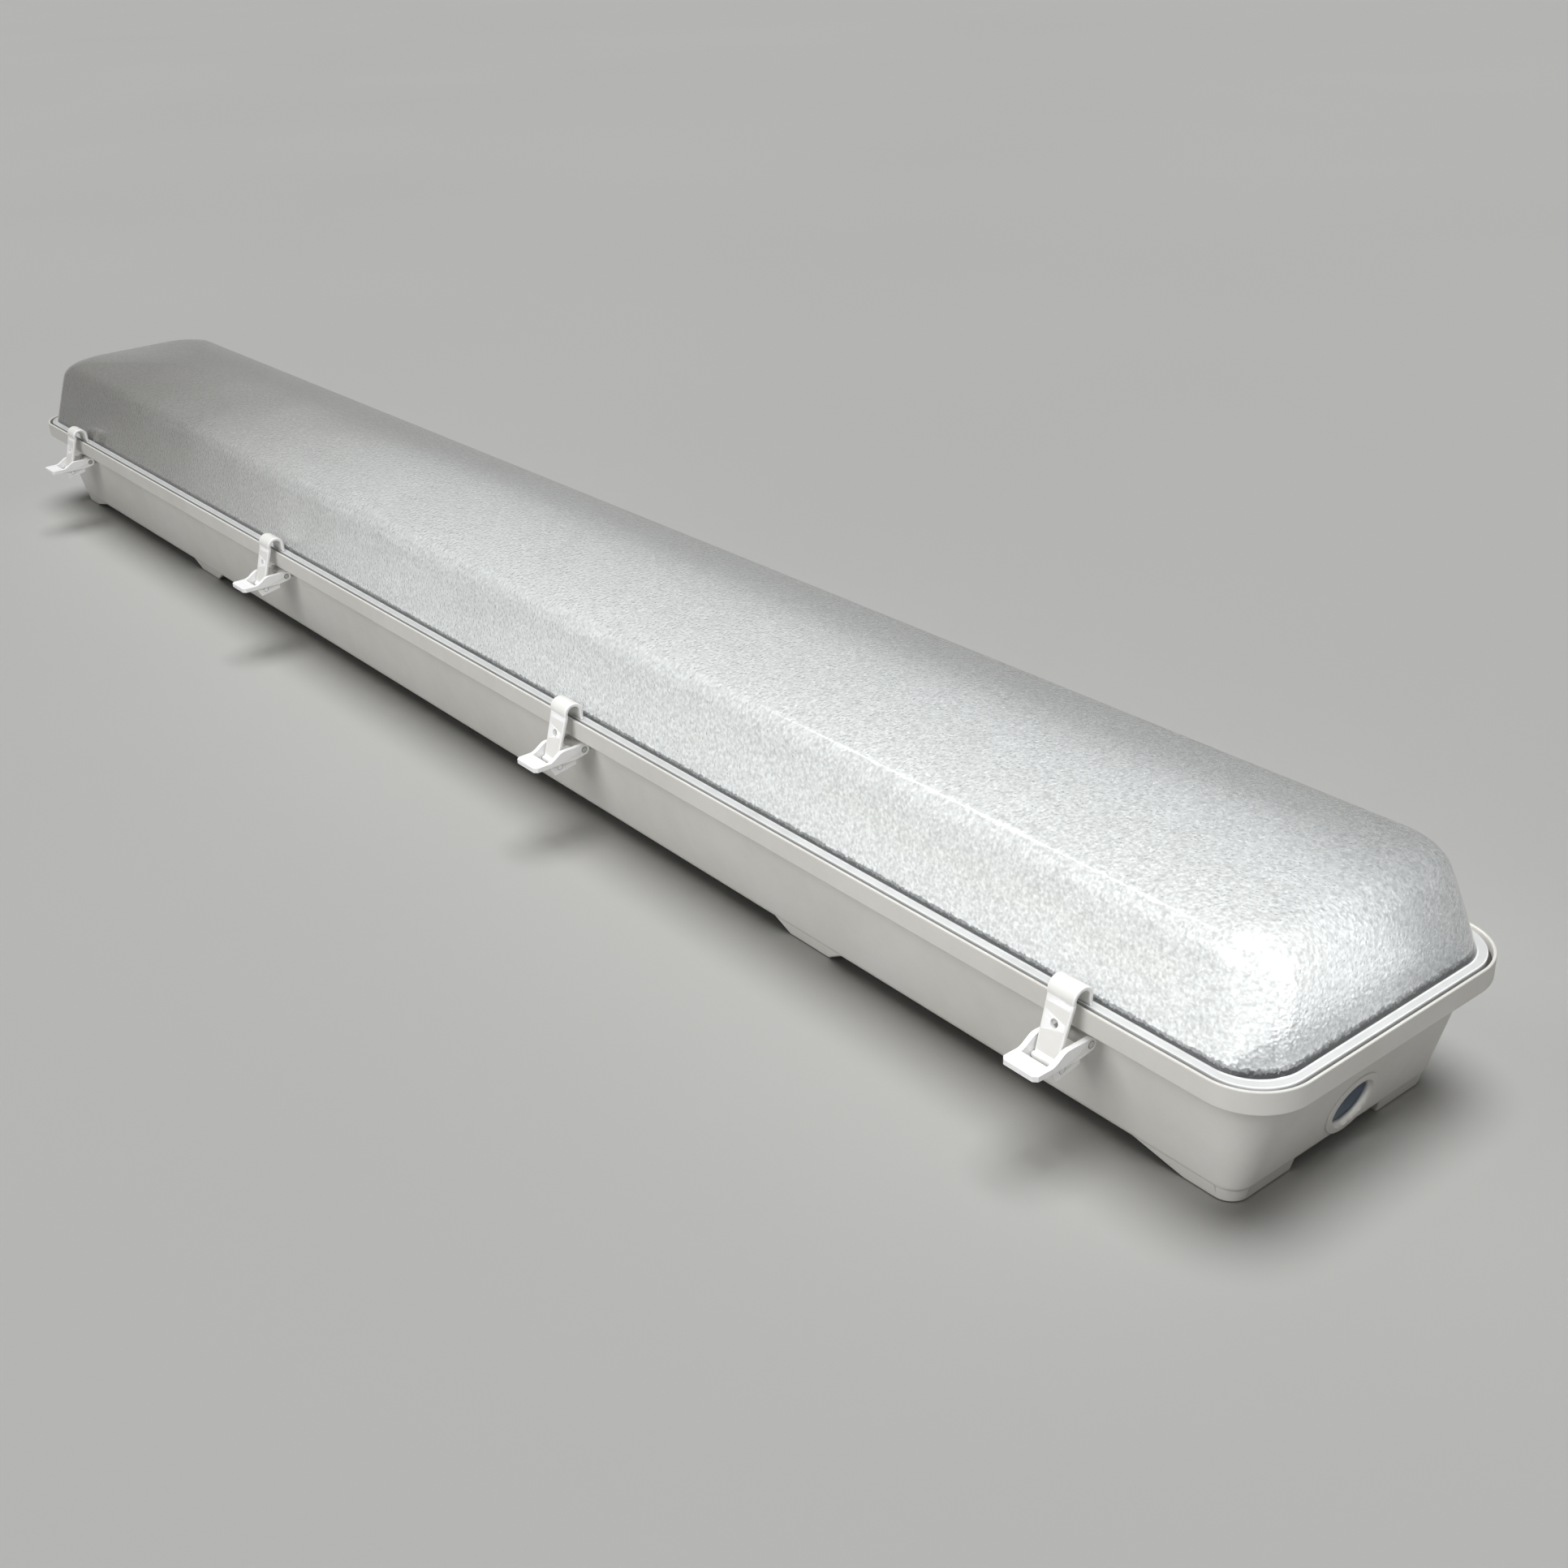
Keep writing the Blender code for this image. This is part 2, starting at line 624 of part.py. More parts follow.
def post_places():
    """Where the four posts and their screws are."""
    along, aside = RIM_LENGTH / 2 - POST_FROM_END, RIM_WIDTH / 2 - POST_FROM_SIDE
    return [(a * along, b * aside) for a in (-1, 1) for b in (-1, 1)]


def housing_tub():
    """The tub with its feet, lugs, entries and posts."""
    tub = tub_shell()
    surface = tub.data.materials[0]
    added = feet(surface)
    cuts = []
    for label, side in SIDES.items():
        for number, x in enumerate(LATCH_CENTRES, 1):
            added.append(lever_lug(f"lug_{label}_{number}", x, side, surface))
            y = side * (RIM_WIDTH / 2 - LEVER_PIVOT_INSET)
            reach = LEVER_LUG_WIDTH / 2 + OVERRUN
            ends = ((x - reach, y, LEVER_PIVOT_HEIGHT), (x + reach, y, LEVER_PIVOT_HEIGHT))
            cuts.append(rod(f"lug_hole_{label}_{number}", PIN_HOLE_RADIUS, *ends, PIN_SIDES, surface))
    for sign in (-1, 1):
        added.append(entry_ring(f"entry_ring_{sign}", sign, surface))
        cuts.append(entry_bore(f"entry_bore_{sign}", sign, surface))
    for number, (x, y) in enumerate(post_places(), 1):
        added.append(tray_post(f"post_{number}", x, y, surface))
        deep = (x, y, UNDER_TRAY_HEIGHT - POST_HOLE_DEPTH)
        high = (x, y, UNDER_TRAY_HEIGHT + OVERRUN)
        cuts.append(rod(f"post_hole_{number}", SCREW_HOLE_RADIUS, deep, high, PIN_SIDES, surface))
    combine(tub, added, "UNION")
    combine(tub, cuts, "DIFFERENCE")


# Gasket and lens


def rim_gasket():
    """The strip that lies on the channel floor."""
    low = CHANNEL_FLOOR_HEIGHT + FIT_GAP
    high = low + GASKET_THICKNESS
    outer = CHANNEL_OUTER_INSET + FIT_GAP
    inner = CHANNEL_INNER_INSET - FIT_GAP
    loops = [rim_loop(outer, low), rim_loop(outer, high), rim_loop(inner, high), rim_loop(inner, low)]
    loft("rim_gasket", loops, gasket_foam(), ring=True)


def section(foot, lean, shoulder, roof, middle, skin):
    """The centres and joints of a section: a leaning wall, a round shoulder and a roof arc.

    Both arcs share a tangent, and the shoulder is tangent to the wall. skin is how far the
    section lies inside the outer surface.
    """
    shoulder, roof = shoulder - skin, roof - skin
    out = Vector((math.cos(lean), math.sin(lean)))
    up = Vector((-math.sin(lean), math.cos(lean)))
    base = Vector((foot, LENS_FLANGE_TOP_HEIGHT)) - out * skin
    roof_centre = Vector((middle, LENS_CROWN_HEIGHT - skin - roof))
    span = roof - shoulder
    aside = out.dot(base) - shoulder - out.dot(roof_centre)
    centre = roof_centre + out * aside + up * math.sqrt(span * span - aside * aside)
    wall_top = centre.y + shoulder * math.sin(lean)
    roof_foot = roof_centre.y + roof * (centre.y - roof_centre.y) / span
    return base, lean, centre, shoulder, roof_centre, roof, wall_top, roof_foot


def reach_at(parts, height):
    """How far a section reaches out at one height."""
    base, lean, centre, shoulder, roof_centre, roof, wall_top, roof_foot = parts
    if height <= wall_top:
        return base.x - (height - base.y) * math.tan(lean)
    if height <= roof_foot:
        return centre.x + math.sqrt(max(shoulder**2 - (height - centre.y) ** 2, 0.0))
    return roof_centre.x + math.sqrt(max(roof**2 - (height - roof_centre.y) ** 2, 0.0))


def side_section(skin):
    """Section across the lens at the middle of its length."""
    foot = RIM_WIDTH / 2 - LENS_FOOT_INSET
    shape = (LENS_SIDE_LEAN, LENS_SIDE_SHOULDER_RADIUS, LENS_SIDE_ROOF_RADIUS)
    return section(foot, *shape, 0.0, skin)


def end_section(skin):
    """Section along the lens: beyond the level stretch the roof falls away to the end."""
    foot = RIM_LENGTH / 2 - LENS_FOOT_INSET
    shape = (LENS_END_LEAN, LENS_END_SHOULDER_RADIUS, LENS_END_ROOF_RADIUS)
    return section(foot, *shape, RIM_LENGTH / 2 - LENS_FLAT_ROOF_FROM_END, skin)


def section_heights(parts, start):
    """Heights of the loops of one skin, from a start on the wall to near the crown."""
    _, lean, centre, shoulder, roof_centre, roof, wall_top, roof_foot = parts
    heights = [start, (start + wall_top) / 2, wall_top]
    top_angle = math.asin((roof_foot - centre.y) / shoulder)
    for i in range(1, SHOULDER_STEPS + 1):
        heights.append(centre.y + shoulder * math.sin(lean + (top_angle - lean) * i / SHOULDER_STEPS))
    widest = reach_at(parts, roof_foot)
    for i in range(1, ROOF_STEPS + 1):
        reach = widest * (1 - (1 - LENS_TOP_LOOP_SHARE) * i / ROOF_STEPS)
        heights.append(roof_centre.y + math.sqrt(roof**2 - reach**2))
    return heights


def skin_loops(skin, start):
    """Loops of the outer or inner skin of the lens, from its foot up."""
    side, end = side_section(skin), end_section(skin)
    loops = []
    for height in section_heights(side, start):
        half_width = reach_at(side, height)
        radius = min(LENS_CORNER_RADIUS - skin, LENS_ROOF_CORNER_SHARE * half_width)
        loops.append(round_loop(reach_at(end, height), half_width, radius, height))
    return loops


def lens_cover():
    """The clear cover with its foot flange and the tongue that presses on the gasket."""
    top = LENS_FLANGE_TOP_HEIGHT
    under = top - LENS_FLANGE_THICKNESS
    tongue = CHANNEL_FLOOR_HEIGHT + FIT_GAP + GASKET_THICKNESS + FIT_GAP
    outer = CHANNEL_OUTER_INSET + LENS_FLANGE_GAP
    inner = outer + LENS_TONGUE_THICKNESS
    loops = list(reversed(skin_loops(0.0, top)))
    loops.append(rim_loop(outer + LENS_FLANGE_EDGE_ROUND, top))
    loops.append(rim_loop(outer, top - LENS_FLANGE_EDGE_ROUND))
    loops.append(rim_loop(outer, tongue))
    loops.append(rim_loop(inner, tongue))
    loops.append(rim_loop(inner, under))
    loops += skin_loops(LENS_THICKNESS, under)
    loft("lens_cover", loops, clear_acrylic())


# Latches


def out_from_rim(distance):
    """Y of a point this far outside the rim on the front side."""
    return -(RIM_WIDTH / 2 + distance)


def lever_outline(tip):
    """Side view of the lever about its pivot: round eye, level arm, a swept fall and the thumb bar."""
    top = tip.y + LEVER_BAR_HALF_THICKNESS
    bottom = tip.y - LEVER_BAR_HALF_THICKNESS
    points = arc((0.0, 0.0), LEVER_EYE_RADIUS, -math.pi / 2, math.pi / 2, END_ROUND_STEPS)
    start = Vector((-LEVER_LEVEL_REACH, LEVER_ARM_TOP))
    end = Vector((tip.x + LEVER_BAR_DEPTH, top))
    for i in range(SWEEP_STEPS + 1):
        share = i / SWEEP_STEPS
        fall = (1 - math.cos(math.pi * share)) / 2
        points.append((start.x + (end.x - start.x) * share, start.y + (end.y - start.y) * fall))
    points += [(tip.x, top), (tip.x, bottom), (-HEEL_BACK_REACH, -LEVER_ARM_BOTTOM)]
    return points


def lever_heel(name, x, surface):
    """The wedge under one arm that holds the strap's trunnion."""
    joint = (LEVER_ARM_BOTTOM + LEVER_EYE_RADIUS) / 2
    outline = (
        (-HEEL_FRONT_REACH, -joint),
        (-HEEL_TIP_REACH, -HEEL_TIP_DROP),
        (-HEEL_BACK_REACH, -HEEL_BACK_DROP),
        (-HEEL_BACK_REACH, -joint),
    )
    heel = prism(name, outline, lambda y, z: HEEL_THICKNESS / 2, surface)
    heel.data.transform(Matrix.Translation((x, 0.0, 0.0)))
    return heel


def lever_mesh(surface):
    """A U of two deep arms and a flat thumb bar, with a heel under each arm, drawn about its pivot."""
    pivot = Vector((out_from_rim(-LEVER_PIVOT_INSET), LEVER_PIVOT_HEIGHT))
    strap_pivot = Vector((out_from_rim(STRAP_PIVOT_OUT), STRAP_PIVOT_HEIGHT)) - pivot
    tip = Vector((out_from_rim(LEVER_BAR_OUT), LEVER_BAR_HEIGHT)) - pivot
    half = LEVER_WIDTH / 2
    slot = half - LEVER_ARM_THICKNESS
    lever = prism("lever", lever_outline(tip), lambda y, z: half, surface)
    bar = tip.x + LEVER_BAR_DEPTH
    height = HEEL_TIP_DROP + OVERRUN
    behind = LEVER_EYE_RADIUS + OVERRUN
    cuts = [box("slot", (-slot, bar, -height), (slot, behind, height), surface)]
    for sign in (-1, 1):
        corner = rod(
            f"corner_{sign}", LEVER_CORNER_CUT, (sign * half, tip.x, -height), (sign * half, tip.x, height),
            CORNER_CUT_SIDES, surface,
        )
        cuts.append(corner)
    combine(lever, cuts, "DIFFERENCE")
    heels = [lever_heel(f"heel_{s}", s * (slot + HEEL_THICKNESS / 2), surface) for s in (-1, 1)]
    combine(lever, heels, "UNION")
    reach = half + OVERRUN
    holes = (((0.0, 0.0), PIN_HOLE_RADIUS), (strap_pivot, STRAP_TRUNNION_RADIUS + FIT_GAP))
    eyes = []
    for number, ((y, z), radius) in enumerate(holes):
        eyes.append(rod(f"eye_{number}", radius, (-reach, y, z), (reach, y, z), PIN_SIDES, surface))
    combine(lever, eyes, "DIFFERENCE")
    return settled(lever, [*cuts, *heels, *eyes])


def strap_path():
    """Middle line of the strap about its lower pivot: a straight shank, the hook and its leg."""
    pivot = Vector((out_from_rim(STRAP_PIVOT_OUT), STRAP_PIVOT_HEIGHT))
    centre = Vector((out_from_rim(HOOK_CENTRE_OUT), HOOK_CENTRE_HEIGHT))
    line = centre - pivot
    lean = math.atan2(line.x, line.y) - math.asin(HOOK_MIDDLE_RADIUS / line.length)
    end = LENS_FLANGE_TOP_HEIGHT + FIT_GAP
    points = [pivot]
    points += arc(centre, HOOK_MIDDLE_RADIUS, math.pi + lean, 0.0, HOOK_STEPS)
    points.append((centre.x + HOOK_MIDDLE_RADIUS, end))
    return [Vector(p) - pivot for p in points], lean


def strap_mesh(surface):
    """A hooked strap with a small hole, drawn about the trunnions at its foot."""
    points, lean = strap_path()
    top = max(p.y for p in points)

    def half_width(y, z):
        return (STRAP_FOOT_WIDTH + (STRAP_HOOK_WIDTH - STRAP_FOOT_WIDTH) * max(z, 0.0) / top) / 2

    strap = prism("strap", thick_path(points, STRAP_HALF_THICKNESS), half_width, surface)
    half = STRAP_FOOT_WIDTH / 2
    eye = rod("eye", STRAP_EYE_RADIUS, (-half, 0.0, 0.0), (half, 0.0, 0.0), SMALL_ROUND_SIDES, surface)
    reach = LEVER_WIDTH / 2 - LEVER_ARM_THICKNESS + HEEL_THICKNESS
    ends = ((-reach, 0.0, 0.0), (reach, 0.0, 0.0))
    trunnion = rod("trunnion", STRAP_TRUNNION_RADIUS, *ends, PIN_SIDES, surface)
    combine(strap, (eye, trunnion), "UNION")
    along = Vector((0.0, math.sin(lean), math.cos(lean)))
    across = Vector((0.0, math.cos(lean), -math.sin(lean)))
    middle = along * STRAP_HOLE_FROM_PIVOT
    deep = STRAP_HALF_THICKNESS + OVERRUN
    hole = rod("hole", STRAP_HOLE_RADIUS, middle - across * deep, middle + across * deep, PIN_SIDES, surface)
    combine(strap, (hole,), "DIFFERENCE")
    return settled(strap, [eye, trunnion, hole])


def pin_mesh(surface):
    """A plain pin across the lever's two arms."""
    reach = LEVER_WIDTH / 2
    ends = ((-reach, 0.0, 0.0), (reach, 0.0, 0.0))
    return settled(rod("pin", LEVER_PIN_RADIUS, *ends, PIN_SIDES, surface), [])


def place_side(name, mesh, x, side, out, height, surface):
    """Place a shape drawn for the front side; on the back side it is turned half round."""
    obj = link(name, mesh, surface)
    obj.location = (x, side * (RIM_WIDTH / 2 + out), height)
    obj.rotation_euler = (0.0, 0.0, math.pi * (side > 0))
    return obj


def latches():
    """Lever, strap and pin at every latch position on both sides."""
    plastic = latch_plastic()
    steel = pin_steel()
    lever, strap, pin = lever_mesh(plastic), strap_mesh(plastic), pin_mesh(steel)
    for label, side in SIDES.items():
        for number, x in enumerate(LATCH_CENTRES, 1):
            place = (x, side, -LEVER_PIVOT_INSET, LEVER_PIVOT_HEIGHT)
            place_side(f"latch_lever_{label}_{number}", lever, *place, plastic)
            place_side(f"lever_pin_{label}_{number}", pin, *place, steel)
            place = (x, side, STRAP_PIVOT_OUT, STRAP_PIVOT_HEIGHT)
            place_side(f"latch_strap_{label}_{number}", strap, *place, plastic)


# Gear tray, boards and electrical parts


def screw_places():
    """Names and places of all screws: each goes down through the tray."""
    places = [(f"tray_screw_{i}", x, y) for i, (x, y) in enumerate(post_places(), 1)]
    tab = DRIVER_LENGTH / 2 + DRIVER_TAB_LENGTH / 2
    places.append(("driver_screw_near", DRIVER_CENTRE + tab, 0.0))
    places.append(("driver_screw_far", DRIVER_CENTRE - tab, 0.0))
    places.append(("terminal_screw", TERMINAL_CENTRE, 0.0))
    places.append(("earth_screw", EARTH_SCREW_CENTRE, 0.0))
    return places


def gear_tray():
    """Folded sheet: a flat top with a flange down each side, and its holes."""
    half = TRAY_WIDTH / 2
    low = TRAY_TOP_HEIGHT - TRAY_FLANGE_DEPTH
    inner = half - TRAY_SHEET
    outline = (
        (-half, low), (-half, TRAY_TOP_HEIGHT), (half, TRAY_TOP_HEIGHT), (half, low),
        (inner, low), (inner, TRAY_UNDERSIDE_HEIGHT), (-inner, TRAY_UNDERSIDE_HEIGHT), (-inner, low),
    )
    surface = tray_enamel()
    tray = prism("gear_tray", outline, lambda y, z: TRAY_LENGTH / 2, surface)
    holes = [(name, x, y, SCREW_HOLE_RADIUS) for name, x, y in screw_places()]
    holes.append(("grommet", GROMMET_CENTRE, 0.0, GROMMET_NECK_RADIUS + FIT_GAP))
    cuts = []
    for name, x, y, radius in holes:
        ends = ((x, y, TRAY_UNDERSIDE_HEIGHT - OVERRUN), (x, y, TRAY_TOP_HEIGHT + OVERRUN))
        cuts.append(rod(f"hole_for_{name}", radius, *ends, SMALL_ROUND_SIDES, surface))
    combine(tray, cuts, "DIFFERENCE")


def boards():
    """Four strips that carry the light sources, two rows of two, and the link in each row."""
    resist = board_resist()
    plastic = terminal_plastic()
    start = BOARD_END_GAP / 2
    low = TRAY_TOP_HEIGHT + FIT_GAP
    for row, side in SIDES.items():
        y = side * BOARD_ROW_CENTRE
        for end, sign in (("near", 1), ("far", -1)):
            x0, x1 = sorted((sign * start, sign * (start + BOARD_LENGTH)))
            corner = (x0, y - BOARD_WIDTH / 2, low)
            other = (x1, y + BOARD_WIDTH / 2, BOARD_TOP_HEIGHT)
            box(f"led_board_{row}_{end}", corner, other, resist)
        base = BOARD_TOP_HEIGHT + FIT_GAP
        corner = (-LINK_LENGTH / 2, y - LINK_WIDTH / 2, base)
        other = (LINK_LENGTH / 2, y + LINK_WIDTH / 2, base + LINK_THICKNESS)
        box(f"board_link_{row}", corner, other, plastic)


def led_driver():
    """A long case with a screw tab at each end and holes for its leads."""
    surface = driver_case()
    half_length, half_width = DRIVER_LENGTH / 2, DRIVER_WIDTH / 2
    top, edge = UNDER_TRAY_HEIGHT, DRIVER_EDGE
    low = top - DRIVER_HEIGHT
    outline = (
        (-half_width, low + edge), (-half_width, top), (half_width, top), (half_width, low + edge),
        (half_width - edge, low), (edge - half_width, low),
    )
    driver = prism("led_driver", outline, lambda y, z: half_length, surface)
    driver.location.x = DRIVER_CENTRE
    tab_reach = half_length + DRIVER_TAB_LENGTH
    low_corner = (-tab_reach, -DRIVER_TAB_WIDTH / 2, top - DRIVER_TAB_THICKNESS)
    tabs = box("driver_tabs", low_corner, (tab_reach, DRIVER_TAB_WIDTH / 2, top), surface)
    tabs.location.x = DRIVER_CENTRE
    combine(driver, (tabs,), "UNION")
    cuts = []
    for sign in (-1, 1):
        x = DRIVER_CENTRE + sign * (half_length + DRIVER_TAB_LENGTH / 2)
        ends = ((x, 0.0, top - DRIVER_TAB_THICKNESS - OVERRUN), (x, 0.0, top + OVERRUN))
        cuts.append(rod(f"tab_hole_{sign}", SCREW_HOLE_RADIUS, *ends, SMALL_ROUND_SIDES, surface))
        for side in (-1, 1):
            y = side * TERMINAL_PITCH
            inside = DRIVER_CENTRE + sign * (half_length - LEAD_HOLE_DEPTH)
            outside = DRIVER_CENTRE + sign * (half_length + OVERRUN)
            ends = ((inside, y, lead_height()), (outside, y, lead_height()))
            name = f"driver_lead_hole_{sign}_{side}"
            cuts.append(rod(name, LEAD_HOLE_RADIUS, *ends, PIN_SIDES, surface))
    combine(driver, cuts, "DIFFERENCE")


def lead_height():
    """Height at which the leads enter the driver and the terminal block."""
    return UNDER_TRAY_HEIGHT - LEAD_WAY_DROP


def terminal_block():
    """A stepped block with three through ways for leads and a screw hole."""
    surface = terminal_plastic()
    half, step = TERMINAL_WIDTH / 2, TERMINAL_STEP
    top = UNDER_TRAY_HEIGHT
    low = top - TERMINAL_HEIGHT
    outline = (
        (-half, low + step), (-half, top), (half, top), (half, low + step),
        (half - step, low + step), (half - step, low), (step - half, low), (step - half, low + step),
    )
    block = prism("terminal_block", outline, lambda y, z: TERMINAL_LENGTH / 2, surface)
    block.location.x = TERMINAL_CENTRE
    reach = TERMINAL_LENGTH / 2 + OVERRUN
    cuts = []
    for number in (-1, 0, 1):
        y = number * TERMINAL_PITCH
        ends = ((TERMINAL_CENTRE - reach, y, lead_height()), (TERMINAL_CENTRE + reach, y, lead_height()))
        cuts.append(rod(f"way_{number}", LEAD_HOLE_RADIUS, *ends, PIN_SIDES, surface))
    floor = lead_height() + LEAD_HOLE_RADIUS + OVERRUN
    ends = ((TERMINAL_CENTRE, 0.0, floor), (TERMINAL_CENTRE, 0.0, top + OVERRUN))
    cuts.append(rod("terminal_screw_hole", SCREW_HOLE_RADIUS, *ends, SMALL_ROUND_SIDES, surface))
    combine(block, cuts, "DIFFERENCE")


def screw_mesh(name, shank, surface):
    """A slotted pan-head screw whose head rests at height zero."""
    profile = (
        (SCREW_SHANK_RADIUS / 2, -shank),
        (SCREW_SHANK_RADIUS, -shank + SCREW_SHANK_RADIUS / 2),
        (SCREW_SHANK_RADIUS, 0.0),
        (SCREW_HEAD_RADIUS, 0.0),
        (SCREW_HEAD_RADIUS, SCREW_HEAD_HEIGHT - SCREW_HEAD_EDGE),
        (SCREW_HEAD_RADIUS - SCREW_HEAD_EDGE, SCREW_HEAD_HEIGHT),
    )
    screw = turned(name, profile, PIN_SIDES, surface)
    reach = SCREW_HEAD_RADIUS + OVERRUN
    low = (-reach, -SCREW_SLOT_WIDTH / 2, SCREW_HEAD_HEIGHT - SCREW_SLOT_DEPTH)
    slot = box("slot", low, (reach, SCREW_SLOT_WIDTH / 2, SCREW_HEAD_HEIGHT + OVERRUN), surface)
    combine(screw, (slot,), "DIFFERENCE")
    return settled(screw, [slot])


def screws():
    """All screws, their heads on the tray; the one in the terminal block is short."""
    steel = pin_steel()
    long_screw = screw_mesh("long_screw", SCREW_SHANK_LENGTH, steel)
    depth = TRAY_TOP_HEIGHT - lead_height() - LEAD_HOLE_RADIUS - OVERRUN
    short_screw = screw_mesh("short_screw", depth - FIT_GAP, steel)
    for name, x, y in screw_places():
        obj = link(name, short_screw if name == "terminal_screw" else long_screw, steel)
        obj.location = (x, y, TRAY_TOP_HEIGHT + FIT_GAP)


def wire_grommet():
    """A nylon ring that grips the tray's edge round the hole for the leads."""
    low = TRAY_UNDERSIDE_HEIGHT - FIT_GAP
    high = TRAY_TOP_HEIGHT + FIT_GAP
    profile = (
        (GROMMET_BORE_RADIUS, low - GROMMET_LIP),
        (GROMMET_RADIUS, low - GROMMET_LIP),
        (GROMMET_RADIUS, low),
        (GROMMET_NECK_RADIUS, low),
        (GROMMET_NECK_RADIUS, high),
        (GROMMET_RADIUS, high),
        (GROMMET_RADIUS, high + GROMMET_LIP),
        (GROMMET_BORE_RADIUS, high + GROMMET_LIP),
    )
    ring = turned("wire_grommet", profile, SMALL_ROUND_SIDES, grommet_nylon(), ring=True)
    ring.location.x = GROMMET_CENTRE


def lead(name, points, surface):
    """A round lead along a smooth line through the points, its ends closed."""
    line = bpy.data.curves.new(name, "CURVE")
    line.dimensions = "3D"
    line.resolution_u = LEAD_STEPS
    line.bevel_depth = LEAD_RADIUS
    line.bevel_resolution = LEAD_ROUND_STEPS
    line.use_fill_caps = True
    path = line.splines.new("BEZIER")
    path.bezier_points.add(len(points) - 1)
    for knot, point in zip(path.bezier_points, points):
        knot.co = point
        knot.handle_left_type = knot.handle_right_type = "AUTO"
    line.materials.append(surface)
    obj = bpy.data.objects.new(name, line)
    bpy.context.scene.collection.objects.link(obj)


def supply_leads():
    """Live and neutral from the terminal block to the driver, earth to its screw on the tray."""
    height = lead_height()
    block_face = TERMINAL_CENTRE - TERMINAL_LENGTH / 2
    driver_face = DRIVER_CENTRE + DRIVER_LENGTH / 2
    start = block_face + LEAD_HOLE_DEPTH - FIT_GAP
    stop = driver_face - LEAD_HOLE_DEPTH + FIT_GAP
    low = height - LEAD_SAG
    middle = (block_face + driver_face) / 2
    for name, side, colour in (
        ("live_lead", -1, (0.20, 0.08, 0.03)),
        ("neutral_lead", 1, (0.04, 0.12, 0.45)),
    ):
        y = side * TERMINAL_PITCH
        bow = side * (TERMINAL_PITCH + LEAD_SAG)
        points = (
            (start, y, height), (block_face - LEAD_SAG, y, height), (middle, bow, low),
            (driver_face + LEAD_SAG, y, height), (stop, y, height),
        )
        lead(name, points, lead_cover(name, colour))
    tip = SCREW_SHANK_RADIUS + LEAD_RADIUS + FIT_GAP
    points = (
        (start, 0.0, height), (block_face - LEAD_SAG, 0.0, height),
        (EARTH_SCREW_CENTRE + LEAD_SAG, 0.0, UNDER_TRAY_HEIGHT - LEAD_RADIUS - FIT_GAP),
        (EARTH_SCREW_CENTRE + tip, 0.0, UNDER_TRAY_HEIGHT - LEAD_RADIUS - FIT_GAP),
    )
    lead("earth_lead", points, lead_cover("earth_lead", (0.06, 0.30, 0.05)))


def board_leads():
    """The two leads from the driver up through the grommet to the far boards."""
    height = lead_height()
    face = DRIVER_CENTRE - DRIVER_LENGTH / 2
    rest = BOARD_TOP_HEIGHT + FIT_GAP + LEAD_RADIUS
    for name, side, colour in (
        ("led_lead_plus", -1, (0.55, 0.02, 0.02)),
        ("led_lead_minus", 1, (0.02, 0.02, 0.02)),
    ):
        y = side * TERMINAL_PITCH
        inner = side * LEAD_ASIDE
        points = (
            (face + LEAD_HOLE_DEPTH - FIT_GAP, y, height),
            (face - LEAD_SAG, y, height),
            (GROMMET_CENTRE, inner, TRAY_UNDERSIDE_HEIGHT - LEAD_SAG / 2),
            (GROMMET_CENTRE, inner, TRAY_TOP_HEIGHT + GROMMET_LIP),
            (GROMMET_CENTRE - LEAD_SAG / 2, side * LEAD_SAG, rest + LEAD_RADIUS * 2),
            (GROMMET_CENTRE - LEAD_SAG, side * (BOARD_ROW_CENTRE - BOARD_WIDTH / 2), rest + LEAD_RADIUS),
            (GROMMET_CENTRE - LEAD_SAG, side * (BOARD_ROW_CENTRE - BOARD_WIDTH / 4), rest),
        )
        lead(name, points, lead_cover(name, colour))


def entry_plug():
    """The snap-in plug of the far entry: a domed head, a barrel and a bead behind the wall."""
    rest = ENTRY_RING_RAISE + FIT_GAP
    barrel = ENTRY_RADIUS - FIT_GAP
    back = -TUB_WALL - FIT_GAP
    profile = (
        (barrel - PLUG_BARREL_WALL, rest),
        (barrel - PLUG_BARREL_WALL, back - PLUG_SNAP_LENGTH),
        (barrel, back - PLUG_SNAP_LENGTH),
        (barrel + PLUG_SNAP_RAISE, back - PLUG_SNAP_RAISE),
        (barrel, back),
        (barrel, rest),
        (PLUG_HEAD_RADIUS, rest),
        (PLUG_HEAD_RADIUS, rest + PLUG_HEAD_THICKNESS / 2),
        (PLUG_HEAD_RADIUS - PLUG_HEAD_THICKNESS / 2, rest + PLUG_HEAD_THICKNESS),
    )
    plug = turned("entry_plug", profile, SMALL_ROUND_SIDES * 2, plug_rubber())
    plug.matrix_world = entry_frame(-1)


clear_scene()
housing_tub()
rim_gasket()
lens_cover()
latches()
gear_tray()
boards()
led_driver()
terminal_block()
screws()
wire_grommet()
supply_leads()
board_leads()
entry_plug()
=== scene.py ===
"""The looks of a vapor tight light fixture that lies on its back, lens up.

Metres, +Z up, +X to the end with the open conduit entry, -Y to the side seen first.
"""

import math

import bpy
import numpy as np
from mathutils import Matrix, Vector


